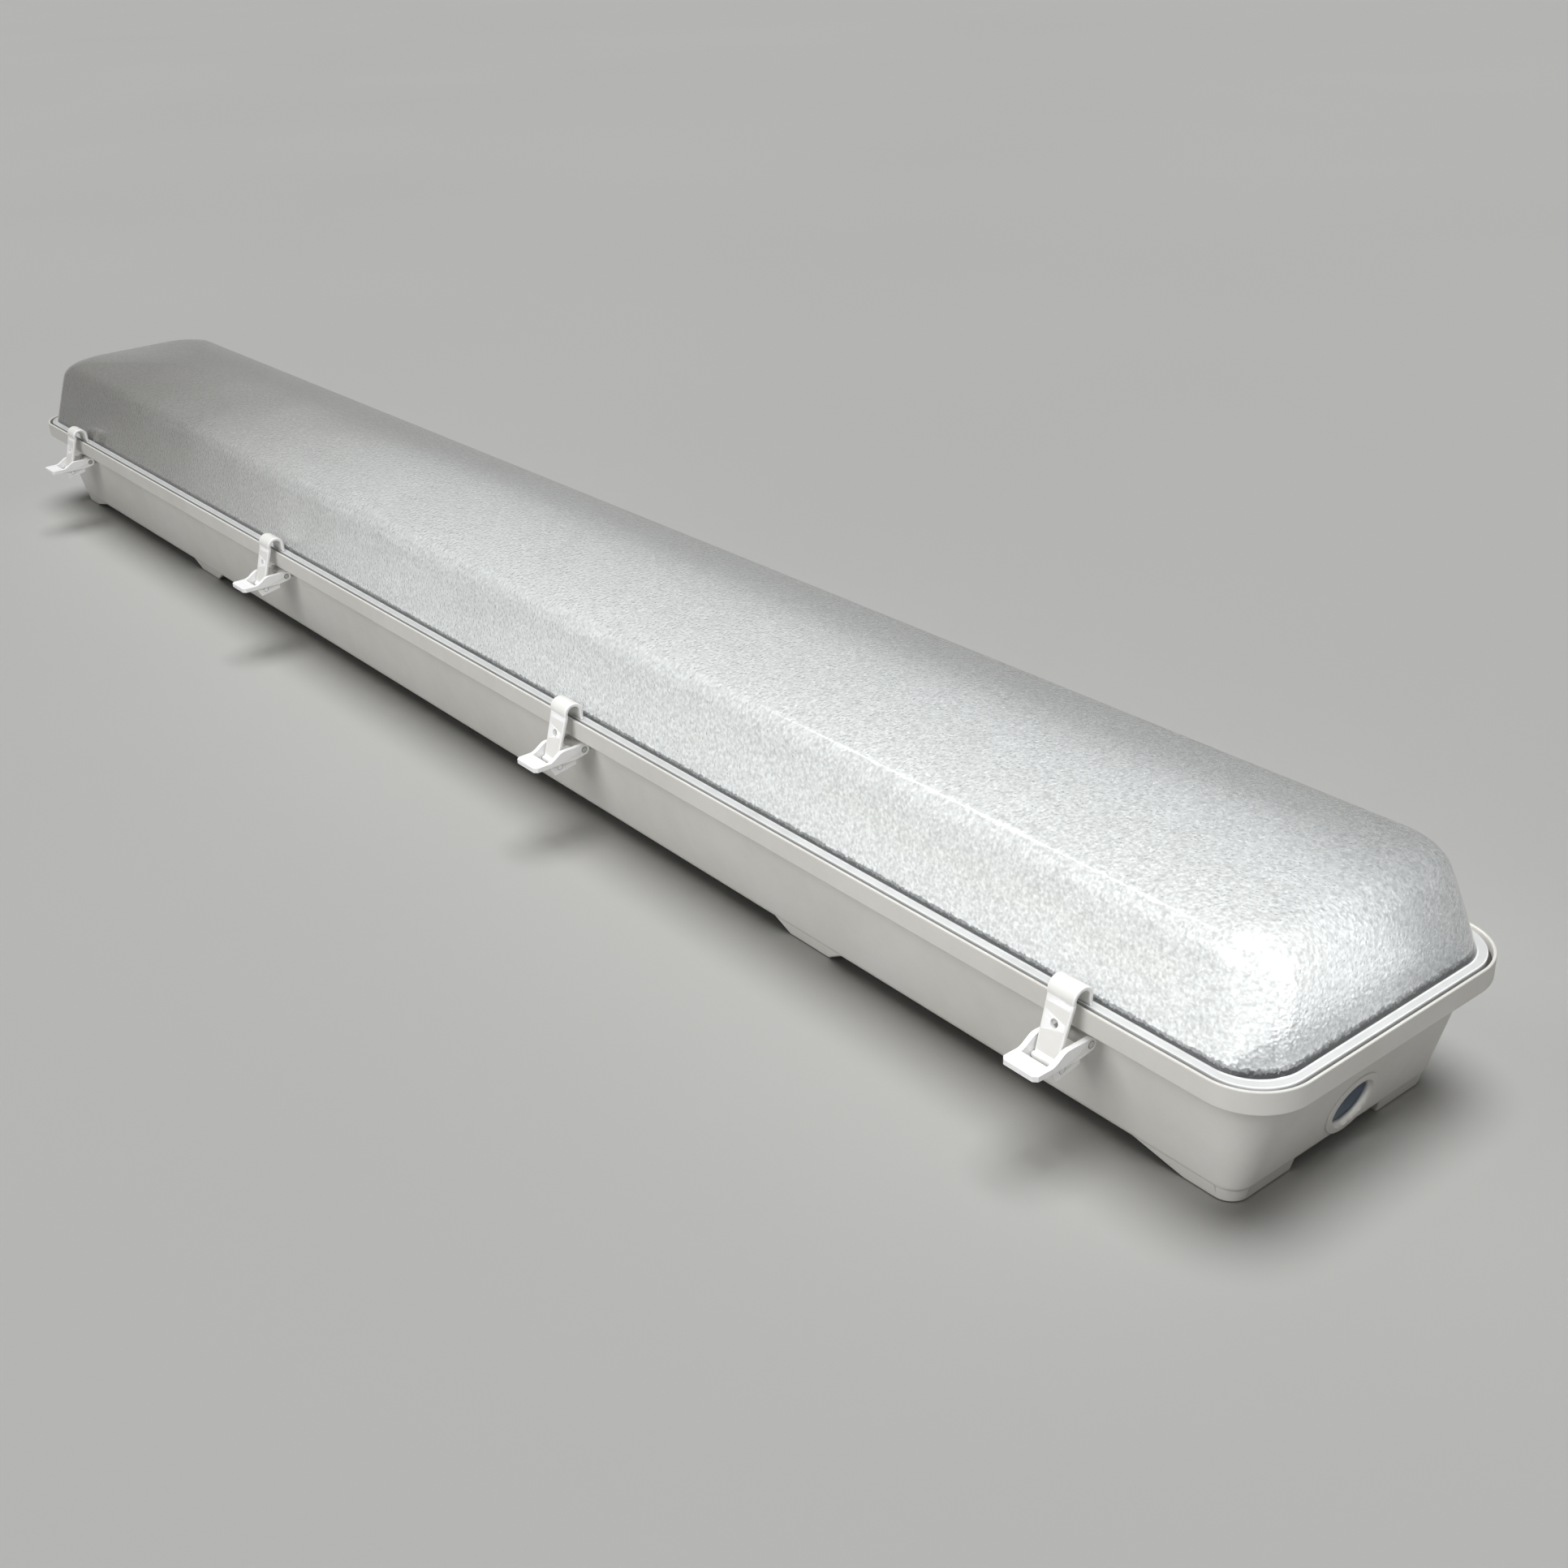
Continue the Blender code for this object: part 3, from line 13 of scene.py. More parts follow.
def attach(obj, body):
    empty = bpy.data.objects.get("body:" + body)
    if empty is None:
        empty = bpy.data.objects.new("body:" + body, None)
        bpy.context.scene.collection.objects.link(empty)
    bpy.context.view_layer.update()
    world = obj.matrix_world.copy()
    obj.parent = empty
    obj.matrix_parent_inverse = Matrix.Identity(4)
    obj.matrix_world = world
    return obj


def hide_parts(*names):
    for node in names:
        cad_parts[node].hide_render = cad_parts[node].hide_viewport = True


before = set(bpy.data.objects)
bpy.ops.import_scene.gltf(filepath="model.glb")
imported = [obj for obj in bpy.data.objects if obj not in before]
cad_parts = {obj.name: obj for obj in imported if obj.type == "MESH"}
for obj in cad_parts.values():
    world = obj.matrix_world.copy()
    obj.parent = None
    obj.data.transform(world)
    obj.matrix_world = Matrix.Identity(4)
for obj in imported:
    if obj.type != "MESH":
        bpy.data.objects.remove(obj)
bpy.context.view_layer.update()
scene = bpy.context.scene
scene.view_settings.view_transform = "Standard"

# Camera
# It stands off the near end and a little to the front side, above the lens, so that the front
# side, the near end and the whole lens are in view.
CAMERA_PLACE = (0.98032, -0.54522, 0.49084)
CAMERA_TURN = (62.865, 2.542, 51.402)
CAMERA_LENS = 42.87
SENSOR = 36.0
NEAREST = 0.01

camera = bpy.data.objects.new("camera", bpy.data.cameras.new("camera"))
camera.location = CAMERA_PLACE
camera.rotation_euler = [math.radians(turn) for turn in CAMERA_TURN]
camera.data.sensor_width = SENSOR
camera.data.lens = CAMERA_LENS
camera.data.clip_start = NEAREST
scene.collection.objects.link(camera)
scene.camera = camera

# Studio
# A pale seamless floor under a wide soft lamp, with an even grey sky all round it. Five fill lamps
# leave the floor to the wide lamp, so that it keeps one even tone; the last two light the lens alone.
FLOOR_REACH = 40.0
FLOOR_COLOUR = (0.725, 0.725, 0.709)
FLOOR_DRIFT = (0.97, 1.03)
FLOOR_ROUGHNESS = 0.85
FLOOR_SHINE = 0.1
BACKGROUND = (0.463, 0.463, 0.451)
SKY_STRENGTH = 0.06
SUN_FROM = (0.00, 0.07, 1.00)
SUN_STRENGTH = 1.78
SUN_SPREAD = 38.0
FILL_LAMPS = {
    # place, aim, length, width, watts
    "front_lamp": ((0.50, -1.20, 0.92), (0.25, 0.00, 0.05), 1.00, 1.00, 13.6),
    "streak_lamp": ((-0.92, -0.35, 2.00), (-0.92, -0.15, 0.00), 1.50, 0.16, 6.5),
    "near_lamp": ((1.35, -0.25, 0.95), (0.55, 0.00, 0.08), 0.90, 0.90, 3.3),
    "corner_lamp": ((1.60, -0.80, 0.42), (0.62, 0.00, 0.09), 0.80, 0.80, 0.3),
    "end_lamp": ((1.70, 0.10, 0.50), (0.62, 0.00, 0.10), 0.60, 0.60, 10.0),
}
LENS_LAMPS = 2


def node(tree, kind, inputs=None, **settings):
    """Adds a shader node; each input is a value, or the output socket that feeds it."""
    made = tree.nodes.new("ShaderNode" + kind)
    for key, value in settings.items():
        setattr(made, key, value)
    for key, value in (inputs or {}).items():
        if isinstance(value, bpy.types.NodeSocket):
            tree.links.new(value, made.inputs[key])
        else:
            made.inputs[key].default_value = value
    return made


def object_place(tree):
    """Where a point of the surface is, in the object's own coordinates."""
    return node(tree, "TexCoord").outputs["Object"]


def noise(tree, place, scale, detail, roughness=0.5, distortion=0.0):
    """Soft noise round 0.5; few of its values leave 0.3 to 0.7."""
    sockets = {"Vector": place, "Scale": scale, "Detail": detail}
    sockets.update({"Roughness": roughness, "Distortion": distortion})
    return node(tree, "TexNoise", sockets).outputs[0]


def maths(tree, operation, *values, **settings):
    """One step of arithmetic on numbers."""
    return node(tree, "Math", dict(enumerate(values)), operation=operation, **settings).outputs[0]


def remap(tree, value, span=(0.0, 1.0), onto=(0.0, 1.0), **settings):
    """A number carried from one span onto another and held at its ends."""
    return node(tree, "MapRange", dict(enumerate((value, *span, *onto))), **settings).outputs[0]


def scaled(tree, vector, factor):
    """A colour or a vector times a number."""
    return node(tree, "VectorMath", {0: vector, "Scale": factor}, operation="SCALE").outputs[0]


def solid_colour(rgb):
    """A colour with full alpha."""
    return (*rgb, 1.0)


def principled(name, **values):
    """A new material, its tree and its Principled shader; underscores in the names stand for spaces."""
    made = bpy.data.materials.new(name)
    made.use_nodes = True
    shader = made.node_tree.nodes["Principled BSDF"]
    for key, value in values.items():
        shader.inputs[key.replace("_", " ")].default_value = value
    return made, made.node_tree, shader


def feed(tree, sockets, **sources):
    """Links output sockets to a shader's inputs or to a group's results."""
    for key, source in sources.items():
        tree.links.new(source, sockets[key.replace("_", " ")])


world = bpy.data.worlds.new("even_sky")
scene.world = world
world.use_nodes = True
tree = world.node_tree
tree.nodes.clear()
path = node(tree, "LightPath").outputs
seen = maths(tree, "MAXIMUM", path["Is Camera Ray"], path["Is Glossy Ray"])
seen = maths(tree, "MAXIMUM", seen, path["Is Transmission Ray"])
lit = node(tree, "Background", {"Color": solid_colour((1.0, 1.0, 1.0)), "Strength": SKY_STRENGTH})
shown = node(tree, "Background", {"Color": solid_colour(BACKGROUND), "Strength": 1.0})
both = node(tree, "MixShader", {0: seen, 1: lit.outputs[0], 2: shown.outputs[0]})
node(tree, "OutputWorld", {"Surface": both.outputs[0]})

floor_mesh = bpy.data.meshes.new("floor")
corners = [(x * FLOOR_REACH, y * FLOOR_REACH, 0.0) for x, y in ((-1, -1), (1, -1), (1, 1), (-1, 1))]
floor_mesh.from_pydata(corners, [], [(0, 1, 2, 3)])
floor = bpy.data.objects.new("floor", floor_mesh)
scene.collection.objects.link(floor)

floor_paint, tree, shader = principled(
    "floor_paint", Roughness=FLOOR_ROUGHNESS, Specular_IOR_Level=FLOOR_SHINE
)
drift = remap(tree, noise(tree, object_place(tree), scale=1.3, detail=2.0), onto=FLOOR_DRIFT)
feed(tree, shader.inputs, Base_Color=scaled(tree, FLOOR_COLOUR, drift))
floor_mesh.materials.append(floor_paint)


def lamp(name, kind, place, aim, strength, **settings):
    """A lamp at a place, turned towards another."""
    light = bpy.data.lights.new(name, kind)
    light.energy = strength
    for key, value in settings.items():
        setattr(light, key, value)
    made = bpy.data.objects.new(name, light)
    made.location = place
    made.rotation_euler = (Vector(aim) - Vector(place)).to_track_quat("-Z", "Y").to_euler()
    scene.collection.objects.link(made)
    return made


wide_lamp = lamp("wide_lamp", "SUN", SUN_FROM, (0.0, 0.0, 0.0), SUN_STRENGTH, angle=math.radians(SUN_SPREAD))
wide_lamp.data.cycles.use_multiple_importance_sampling = False


def all_but(name, *things):
    """A collection that stands for every object but the given ones in a lamp's light or shadow."""
    made = bpy.data.collections.new(name)
    for thing in things:
        made.objects.link(thing)
    for entry in made.collection_objects:
        entry.light_linking.link_state = "EXCLUDE"
    return made


fills = []
beside_floor = all_but("beside_floor", floor)
for name, (place, aim, length, width, watts) in FILL_LAMPS.items():
    fill = lamp(name, "AREA", place, aim, watts, shape="ELLIPSE", size=length, size_y=width)
    fill.light_linking.receiver_collection = beside_floor
    fills.append(fill)

# Housing
# The tub is pressed from off-white glass fibre polyester: a drafted trough, a rim with a channel
# for the gasket, low feet under the floor, a lug for every latch and a conduit entry in each end.
HALF_LENGTH = 0.6500
HALF_WIDTH = 0.0830
RIM_CORNER = 0.0275
FLOOR_HALF_LENGTH = 0.6275
FLOOR_HALF_WIDTH = 0.06575
MOUTH_HALF_LENGTH = 0.6415
MOUTH_HALF_WIDTH = 0.0745
WALL = 0.0026
FOOT_TOP = 0.0060
FLANGE_UNDERSIDE = 0.0622
SKIRT_BOTTOM = 0.0595
SKIRT = 0.0024
LIP_TOP = 0.0702
LIP = 0.0015
CHANNEL = 0.0052
CHANNEL_FLOOR = 0.0642
INNER_LIP_TOP = 0.0675
INNER_LIP = 0.0025
CAP_INSET = 0.0060
CORNER_STEPS = 20
ROUND_STEPS = 5
POLYESTER = (0.700, 0.690, 0.660)
POLYESTER_SHADE = (0.640, 0.625, 0.585)
# Painted shade: the dark blue-grey of the tub's inner faces stands for the shade inside the tub.
INSIDE_PAINTED_SHADE = (0.120, 0.145, 0.175)


def corner_rounded(points, rounds, steps=ROUND_STEPS):
    """A polyline in any number of dimensions with its corners rounded.

    Each corner P with round r becomes the quadratic curve (1-t)^2 A + 2t(1-t) P + t^2 B, where
    A and B lie r before and after P.
    """
    points = np.asarray(points, float)
    share = np.linspace(0.0, 1.0, steps + 1)[:, None]
    rows = [points[:1]]
    for before, corner, after, reach in zip(points, points[1:], points[2:], rounds):
        back, ahead = before - corner, after - corner
        start = corner + back * min(reach / np.linalg.norm(back), 0.5)
        end = corner + ahead * min(reach / np.linalg.norm(ahead), 0.5)
        rows.append((1 - share) ** 2 * start + 2 * share * (1 - share) * corner + share**2 * end)
    rows.append(points[-1:])
    return np.concatenate(rows)


def oblong_grid(rows):
    """Rounded rectangles, one for each row (half length, half width, corner radius, height).

    Point i of a loop lies on corner circle floor(i / steps), turned evenly through its quarter.
    """
    half_length, half_width, radius, height = np.asarray(rows, float).T[:, :, None]
    quarter = np.repeat(np.arange(4), CORNER_STEPS + 1)
    turn = (quarter + np.tile(np.linspace(0.0, 1.0, CORNER_STEPS + 1), 4)) * math.pi / 2
    middle = (quarter + 0.5) * math.pi / 2
    x = np.sign(np.cos(middle)) * (half_length - radius) + radius * np.cos(turn)
    y = np.sign(np.sin(middle)) * (half_width - radius) + radius * np.sin(turn)
    return np.stack((x, y, np.broadcast_to(height, x.shape)), axis=-1)


def mesh_object(name, points, faces):
    """A smooth-shaded object made of points and faces, put in the scene."""
    mesh = bpy.data.meshes.new(name)
    mesh.from_pydata(np.asarray(points).reshape(-1, 3).tolist(), [], faces)
    mesh.polygons.foreach_set("use_smooth", [True] * len(mesh.polygons))
    made = bpy.data.objects.new(name, mesh)
    scene.collection.objects.link(made)
    return made


def skin(name, grid):
    """Quads between neighbouring loops of a (loops, points, 3) grid, capped at both ends."""
    index = np.arange(grid.shape[0] * grid.shape[1]).reshape(grid.shape[:2])
    low, high = index[:-1], index[1:]
    quads = np.stack((low, np.roll(low, -1, 1), np.roll(high, -1, 1), high), axis=-1).reshape(-1, 4)
    caps = [index[0, ::-1].tolist(), index[-1].tolist()]
    return mesh_object(name, grid, quads.tolist() + caps)


def turned(name, profile, sides):
    """A profile of (radius, height) points turned about Z: x = r cos a, y = r sin a."""
    radius, height = np.asarray(profile, float).T[:, :, None]
    turn = np.linspace(0.0, 2 * math.pi, sides, endpoint=False)
    x, y = radius * np.cos(turn), radius * np.sin(turn)
    return skin(name, np.stack((x, y, np.broadcast_to(height, x.shape)), axis=-1))


def rod(name, radius, start, end, sides):
    """A round bar between two points."""
    start, end = Vector(start), Vector(end)
    made = turned(name, ((radius, 0.0), (radius, (end - start).length)), sides)
    turn = (end - start).to_track_quat("Z", "Y").to_matrix().to_4x4()
    made.data.transform(Matrix.Translation(start) @ turn)
    return made


def block(name, low, high):
    """A plain block between two corners."""
    corners = np.array([[0, 0], [1, 0], [1, 1], [0, 1]])
    low, high = np.asarray(low, float), np.asarray(high, float)
    plan = low[:2] + corners * (high - low)[:2]
    loops = [np.column_stack((plan, np.full(4, height))) for height in (low[2], high[2])]
    return skin(name, np.array(loops))


BEVEL_ANGLE = math.radians(35.0)


def shaped(made, joined=(), cut=(), bevel=0.0, bevel_steps=2):
    """The object with others joined to it and cut out of it, its edges rounded and all that applied."""
    for operation, tools in (("UNION", joined), ("DIFFERENCE", cut)):
        for tool in tools:
            step = made.modifiers.new(tool.name, "BOOLEAN")
            step.operation, step.solver, step.object = operation, "EXACT", tool
    if bevel:
        step = made.modifiers.new("edges", "BEVEL")
        step.width, step.segments, step.angle_limit = bevel, bevel_steps, BEVEL_ANGLE
        step.limit_method = "ANGLE"
    step = made.modifiers.new("shading", "WEIGHTED_NORMAL")
    step.keep_sharp = True
    bpy.context.view_layer.update()
    mesh = bpy.data.meshes.new_from_object(made.evaluated_get(bpy.context.evaluated_depsgraph_get()))
    made.modifiers.clear()
    old, made.data = made.data, mesh
    mesh.name = old.name
    for tool in (*joined, *cut):
        bpy.data.objects.remove(tool, do_unlink=True)
    mark_edges(mesh)
    return made


def mark_edges(mesh):
    """Stores at each vertex how much the faces round it turn.

    That is 1 minus the lowest dot product of its own normal and one of those faces' normals.
    """
    count = len(mesh.vertices)
    corner_vertex = np.empty(len(mesh.loops), np.int32)
    mesh.loops.foreach_get("vertex_index", corner_vertex)
    sizes = np.empty(len(mesh.polygons), np.int32)
    mesh.polygons.foreach_get("loop_total", sizes)
    face_normals = np.empty(len(mesh.polygons) * 3, np.float32)
    mesh.polygons.foreach_get("normal", face_normals)
    face_normals = np.repeat(face_normals.reshape(-1, 3), sizes, axis=0)
    total = np.zeros((count, 3))
    np.add.at(total, corner_vertex, face_normals)
    total /= np.maximum(np.linalg.norm(total, axis=1, keepdims=True), 1e-9)
    turned_away = 1.0 - np.sum(total[corner_vertex] * face_normals, axis=1)
    most = np.zeros(count)
    np.maximum.at(most, corner_vertex, turned_away)
    mesh.attributes.new("edge", "FLOAT", "POINT").data.foreach_set("value", most.astype(np.float32))


def rim_row(inset, height):
    """A row that runs parallel to the rim's outer edge."""
    return (HALF_LENGTH - inset, HALF_WIDTH - inset, RIM_CORNER - inset, height)


def wall_row(height, inset=0.0):
    """A row on the tub's drafted wall: its sizes grow evenly from floor to mouth."""
    rise = (height - FOOT_TOP) / (FLANGE_UNDERSIDE - FOOT_TOP)
    half_length = FLOOR_HALF_LENGTH + (MOUTH_HALF_LENGTH - FLOOR_HALF_LENGTH) * rise
    half_width = FLOOR_HALF_WIDTH + (MOUTH_HALF_WIDTH - FLOOR_HALF_WIDTH) * rise
    radius = RIM_CORNER - (HALF_WIDTH - half_width)
    return (half_length - inset, half_width - inset, radius - inset, height)


CHANNEL_OUT = LIP
CHANNEL_IN = LIP + CHANNEL
FLOOR_INSIDE = FOOT_TOP + WALL
TUB_CORNERS = (
    # row, rounding of its corner
    (wall_row(FOOT_TOP), 0.0034),
    (wall_row(FLANGE_UNDERSIDE), 0.0009),
    (rim_row(SKIRT, FLANGE_UNDERSIDE), 0.0005),
    (rim_row(SKIRT, SKIRT_BOTTOM), 0.0005),
    (rim_row(0.0, SKIRT_BOTTOM), 0.0009),
    (rim_row(0.0, LIP_TOP), 0.00075),
    (rim_row(CHANNEL_OUT, LIP_TOP), 0.00075),
    (rim_row(CHANNEL_OUT, CHANNEL_FLOOR), 0.0003),
    (rim_row(CHANNEL_IN, CHANNEL_FLOOR), 0.0003),
    (rim_row(CHANNEL_IN, INNER_LIP_TOP), 0.0005),
    (rim_row(CHANNEL_IN + INNER_LIP, INNER_LIP_TOP), 0.0005),
    (wall_row(FLANGE_UNDERSIDE, WALL), 0.0010),
    (wall_row(FLOOR_INSIDE, WALL), 0.0030),
)
first, last = wall_row(FOOT_TOP, CAP_INSET), wall_row(FLOOR_INSIDE, WALL + CAP_INSET)
rows = [first, *(row for row, _ in TUB_CORNERS), last]
housing = skin("housing", oblong_grid(corner_rounded(rows, [size for _, size in TUB_CORNERS])))

MIDDLE_FOOT_CENTRE = 0.3630
MIDDLE_FOOT_HALF = 0.0150
MIDDLE_FOOT_RAMP = 0.0100
END_FOOT_ROOT = 0.6007
END_FOOT_TIP = 0.6257
END_FOOT_RAMP = 0.0250
END_FOOT_CORNER = 0.0090
FOOT_REACH = 0.0643
PAD_INSIDE = 0.0283
FOOT_SIDE_RAMP = 0.0011
FOOT_ROUND = 0.0010
FOOT_ROUND_STEPS = 4
FOOT_ARC_POINTS = 13
FOOT_SINK = 0.8


def foot(name, low, high, ramp_low, ramp_high, rounded=(0, 0)):
    """A shallow foot: a loop on the ground and a wider one inside the tub floor.

    One corner, given by its signs, is the arc (cos a, sin a) of a circle that touches both sides.
    """
    top = FOOT_TOP + WALL * FOOT_SINK
    loops = []
    for height, spread in ((0.0, 0.0), (top, top / FOOT_TOP)):
        x = (low[0] - ramp_low * spread, high[0] + ramp_high * spread)
        y = (low[1] - FOOT_SIDE_RAMP * spread, high[1] + FOOT_SIDE_RAMP * spread)
        radius = END_FOOT_CORNER + FOOT_SIDE_RAMP * spread
        loop = []
        for number, (a, b) in enumerate(((-1, -1), (1, -1), (1, 1), (-1, 1))):
            corner = np.array((x[a > 0], y[b > 0]))
            if (a, b) == rounded:
                turn = math.pi * (1 + number / 2) + np.linspace(0.0, math.pi / 2, FOOT_ARC_POINTS)
                middle = corner - radius * np.array((a, b))
                loop.extend((middle + radius * np.column_stack((np.cos(turn), np.sin(turn)))).tolist())
            else:
                loop.append(corner.tolist())
        loops.append(np.column_stack((loop, np.full(len(loop), height))))
    made = skin(name, np.array(loops))
    return shaped(made, bevel=FOOT_ROUND, bevel_steps=FOOT_ROUND_STEPS)


joined = []
for sign in (-1, 1):
    x = sign * MIDDLE_FOOT_CENTRE
    low, high = (x - MIDDLE_FOOT_HALF, -FOOT_REACH), (x + MIDDLE_FOOT_HALF, FOOT_REACH)
    joined.append(foot(f"middle_foot_{sign}", low, high, MIDDLE_FOOT_RAMP, MIDDLE_FOOT_RAMP))
    for side in (-1, 1):
        x0, x1 = sorted((sign * END_FOOT_ROOT, sign * END_FOOT_TIP))
        y0, y1 = sorted((side * PAD_INSIDE, side * FOOT_REACH))
        ramps = (END_FOOT_RAMP, FOOT_SIDE_RAMP)[::sign]
        joined.append(foot(f"end_foot_{sign}_{side}", (x0, y0), (x1, y1), *ramps, (sign, side)))

LATCH_PLACES = (-0.5540, -0.184667, 0.184667, 0.5540)
SIDES = {"front": -1, "back": 1}
PIVOT_OUT = 0.0805
PIVOT_HEIGHT = 0.0535
LUG_HALF_WIDTH = 0.0067
LUG_HALF_HEIGHT = 0.0026
LUG_ROOT = 0.0720
PIN_HOLE = 0.0018
PIN_HOLE_SIDES = 20
LUG_STEPS = 12
OVERRUN = 0.0010
ENTRY_RADIUS = 0.0111
ENTRY_HEIGHT = 0.0225
RING_RADIUS = 0.0155
RING_RAISE = 0.0009
RING_ROUND = 0.0005
ENTRY_CHAMFER = 0.0013
ENTRY_SIDES = 64
POST_PLACE = (0.5900, 0.0480)
POST_RADII = (0.0058, 0.0045)
POST_TOP = 0.0595
POST_SIDES = 24
POST_HOLE = 0.0019
POST_HOLE_FLOOR = 0.0455
POST_HOLE_SIDES = 16


def yz_prism(name, outline, x0, x1):
    """An outline of (y, z) points, anticlockwise seen from +X, drawn out from x0 to x1."""
    outline = np.asarray(outline, float)
    loops = [np.column_stack((np.full(len(outline), x), outline)) for x in (x0, x1)]
    return skin(name, np.array(loops))


def arc(centre, radius, start, end, steps):
    """(y, z) points of an arc: centre + radius (cos a, sin a)."""
    turn = np.linspace(start, end, steps + 1)
    return np.column_stack((centre[0] + radius * np.cos(turn), centre[1] + radius * np.sin(turn)))


cut = []
for label, side in SIDES.items():
    for number, x in enumerate(LATCH_PLACES, 1):
        nose = arc((PIVOT_OUT, PIVOT_HEIGHT), LUG_HALF_HEIGHT, -math.pi / 2, math.pi / 2, LUG_STEPS)
        root = [(LUG_ROOT, PIVOT_HEIGHT + LUG_HALF_HEIGHT), (LUG_ROOT, PIVOT_HEIGHT - LUG_HALF_HEIGHT)]
        outline = np.concatenate((nose, root)) * (side, 1)
        outline = outline[::side]
        joined.append(yz_prism(f"lug_{label}_{number}", outline, x - LUG_HALF_WIDTH, x + LUG_HALF_WIDTH))
        reach = LUG_HALF_WIDTH + OVERRUN
        ends = [(x + end * reach, side * PIVOT_OUT, PIVOT_HEIGHT) for end in (-1, 1)]
        cut.append(rod(f"lug_hole_{label}_{number}", PIN_HOLE, *ends, PIN_HOLE_SIDES))
lean = math.atan2(MOUTH_HALF_LENGTH - FLOOR_HALF_LENGTH, FLANGE_UNDERSIDE - FOOT_TOP)
for sign in (-1, 1):
    out = Vector((sign * math.cos(lean), 0.0, -math.sin(lean)))
    at = Matrix.Translation((sign * wall_row(ENTRY_HEIGHT)[0], 0.0, ENTRY_HEIGHT))
    at = at @ out.to_track_quat("Z", "Y").to_matrix().to_4x4()
    corners = ((RING_RADIUS, -WALL / 2), (RING_RADIUS, RING_RAISE), (RING_RADIUS / 2, RING_RAISE))
    ring = turned(f"entry_ring_{sign}", corner_rounded(corners, [RING_ROUND]), ENTRY_SIDES)
    mouth = ENTRY_RADIUS + ENTRY_CHAMFER
    corners = (
        (ENTRY_RADIUS, -WALL - ENTRY_CHAMFER),
        (ENTRY_RADIUS, RING_RAISE - ENTRY_CHAMFER),
        (mouth, RING_RAISE),
        (mouth, RING_RAISE + OVERRUN),
    )
    bore = turned(f"entry_bore_{sign}", corners, ENTRY_SIDES)
    for made in (ring, bore):
        made.data.transform(at)
    joined.append(ring)
    cut.append(bore)
    for side in (-1, 1):
        x, y = sign * POST_PLACE[0], side * POST_PLACE[1]
        profile = ((POST_RADII[0], FLOOR_INSIDE - WALL / 2), (POST_RADII[1], POST_TOP))
        post = turned(f"post_{sign}_{side}", profile, POST_SIDES)
        post.data.transform(Matrix.Translation((x, y, 0.0)))
        joined.append(post)
        ends = ((x, y, POST_HOLE_FLOOR), (x, y, POST_TOP + OVERRUN))
        cut.append(rod(f"post_hole_{sign}_{side}", POST_HOLE, *ends, POST_HOLE_SIDES))
shaped(housing, joined, cut)


def mark_inner(mesh):
    """Stores 1 at the vertices inside the wall.

    They lie deeper than half the wall in the rounded plan of the tub at their height, and take the painted
    shade.
    """
    points = np.empty(len(mesh.vertices) * 3)
    mesh.vertices.foreach_get("co", points)
    points = points.reshape(-1, 3)
    half_length, half_width, radius, height = wall_row(np.minimum(points[:, 2], FLANGE_UNDERSIDE))
    past = np.abs(points[:, :2]) - np.column_stack((half_length - radius, half_width - radius))
    depth = radius - np.linalg.norm(np.maximum(past, 0.0), axis=1) - np.minimum(past.max(axis=1), 0.0)
    inner = (depth > WALL / 2) & (points[:, 2] > FOOT_TOP + WALL / 2)
    mesh.attributes.new("inner", "FLOAT", "POINT").data.foreach_set("value", inner.astype(np.float32))


mark_inner(housing.data)
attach(housing, "housing")
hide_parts("housing_tub")


def new_group(name, inputs, outputs):
    """An empty shader node group with named sockets, each input as (name, kind, value)."""
    group = bpy.data.node_groups.new(name, "ShaderNodeTree")
    for label, kind, value in inputs:
        socket = group.interface.new_socket(label, in_out="INPUT", socket_type="NodeSocket" + kind)
        socket.default_value = value
    for label, kind in outputs:
        group.interface.new_socket(label, in_out="OUTPUT", socket_type="NodeSocket" + kind)
    return group, group.nodes.new("NodeGroupInput").outputs, group.nodes.new("NodeGroupOutput").inputs


def blended(tree, share, first, second):
    """The first colour, turned into the second by a share."""
    return node(tree, "Mix", {0: share, 6: first, 7: second}, data_type="RGBA").outputs[2]


WHITE = (0.8, 0.8, 0.8, 1.0)
NOISE_SPAN = (0.3, 0.7)
moulded_surface, given, result = new_group(
    "moulded_surface",
    [
        ("Colour", "Color", WHITE),
        ("Shade", "Color", WHITE),
        ("Mottle Scale", "Float", 18.0),
        ("Grain Scale", "Float", 900.0),
        ("Grain Height", "Float", 0.00002),
        ("Smoothest", "Float", 0.35),
        ("Roughest", "Float", 0.55),
    ],
    [("Colour", "Color"), ("Roughness", "Float"), ("Normal", "Vector")],
)
tree = moulded_surface
place = object_place(tree)
cloud = noise(tree, place, given["Mottle Scale"], detail=5.0, roughness=0.6)
cloud = remap(tree, cloud, (0.35, 0.68))
grain = noise(tree, place, given["Grain Scale"], detail=3.0)
fleck = remap(tree, grain, NOISE_SPAN, (-0.06, 0.06))
share = maths(tree, "ADD", cloud, fleck, use_clamp=True)
colour = blended(tree, share, given["Colour"], given["Shade"])
rough = remap(tree, share, onto=(given["Smoothest"], given["Roughest"]))
bump = node(tree, "Bump", {"Height": grain, "Distance": given["Grain Height"], "Strength": 1.0})
feed(tree, result, Colour=colour, Roughness=rough, Normal=bump.outputs[0])
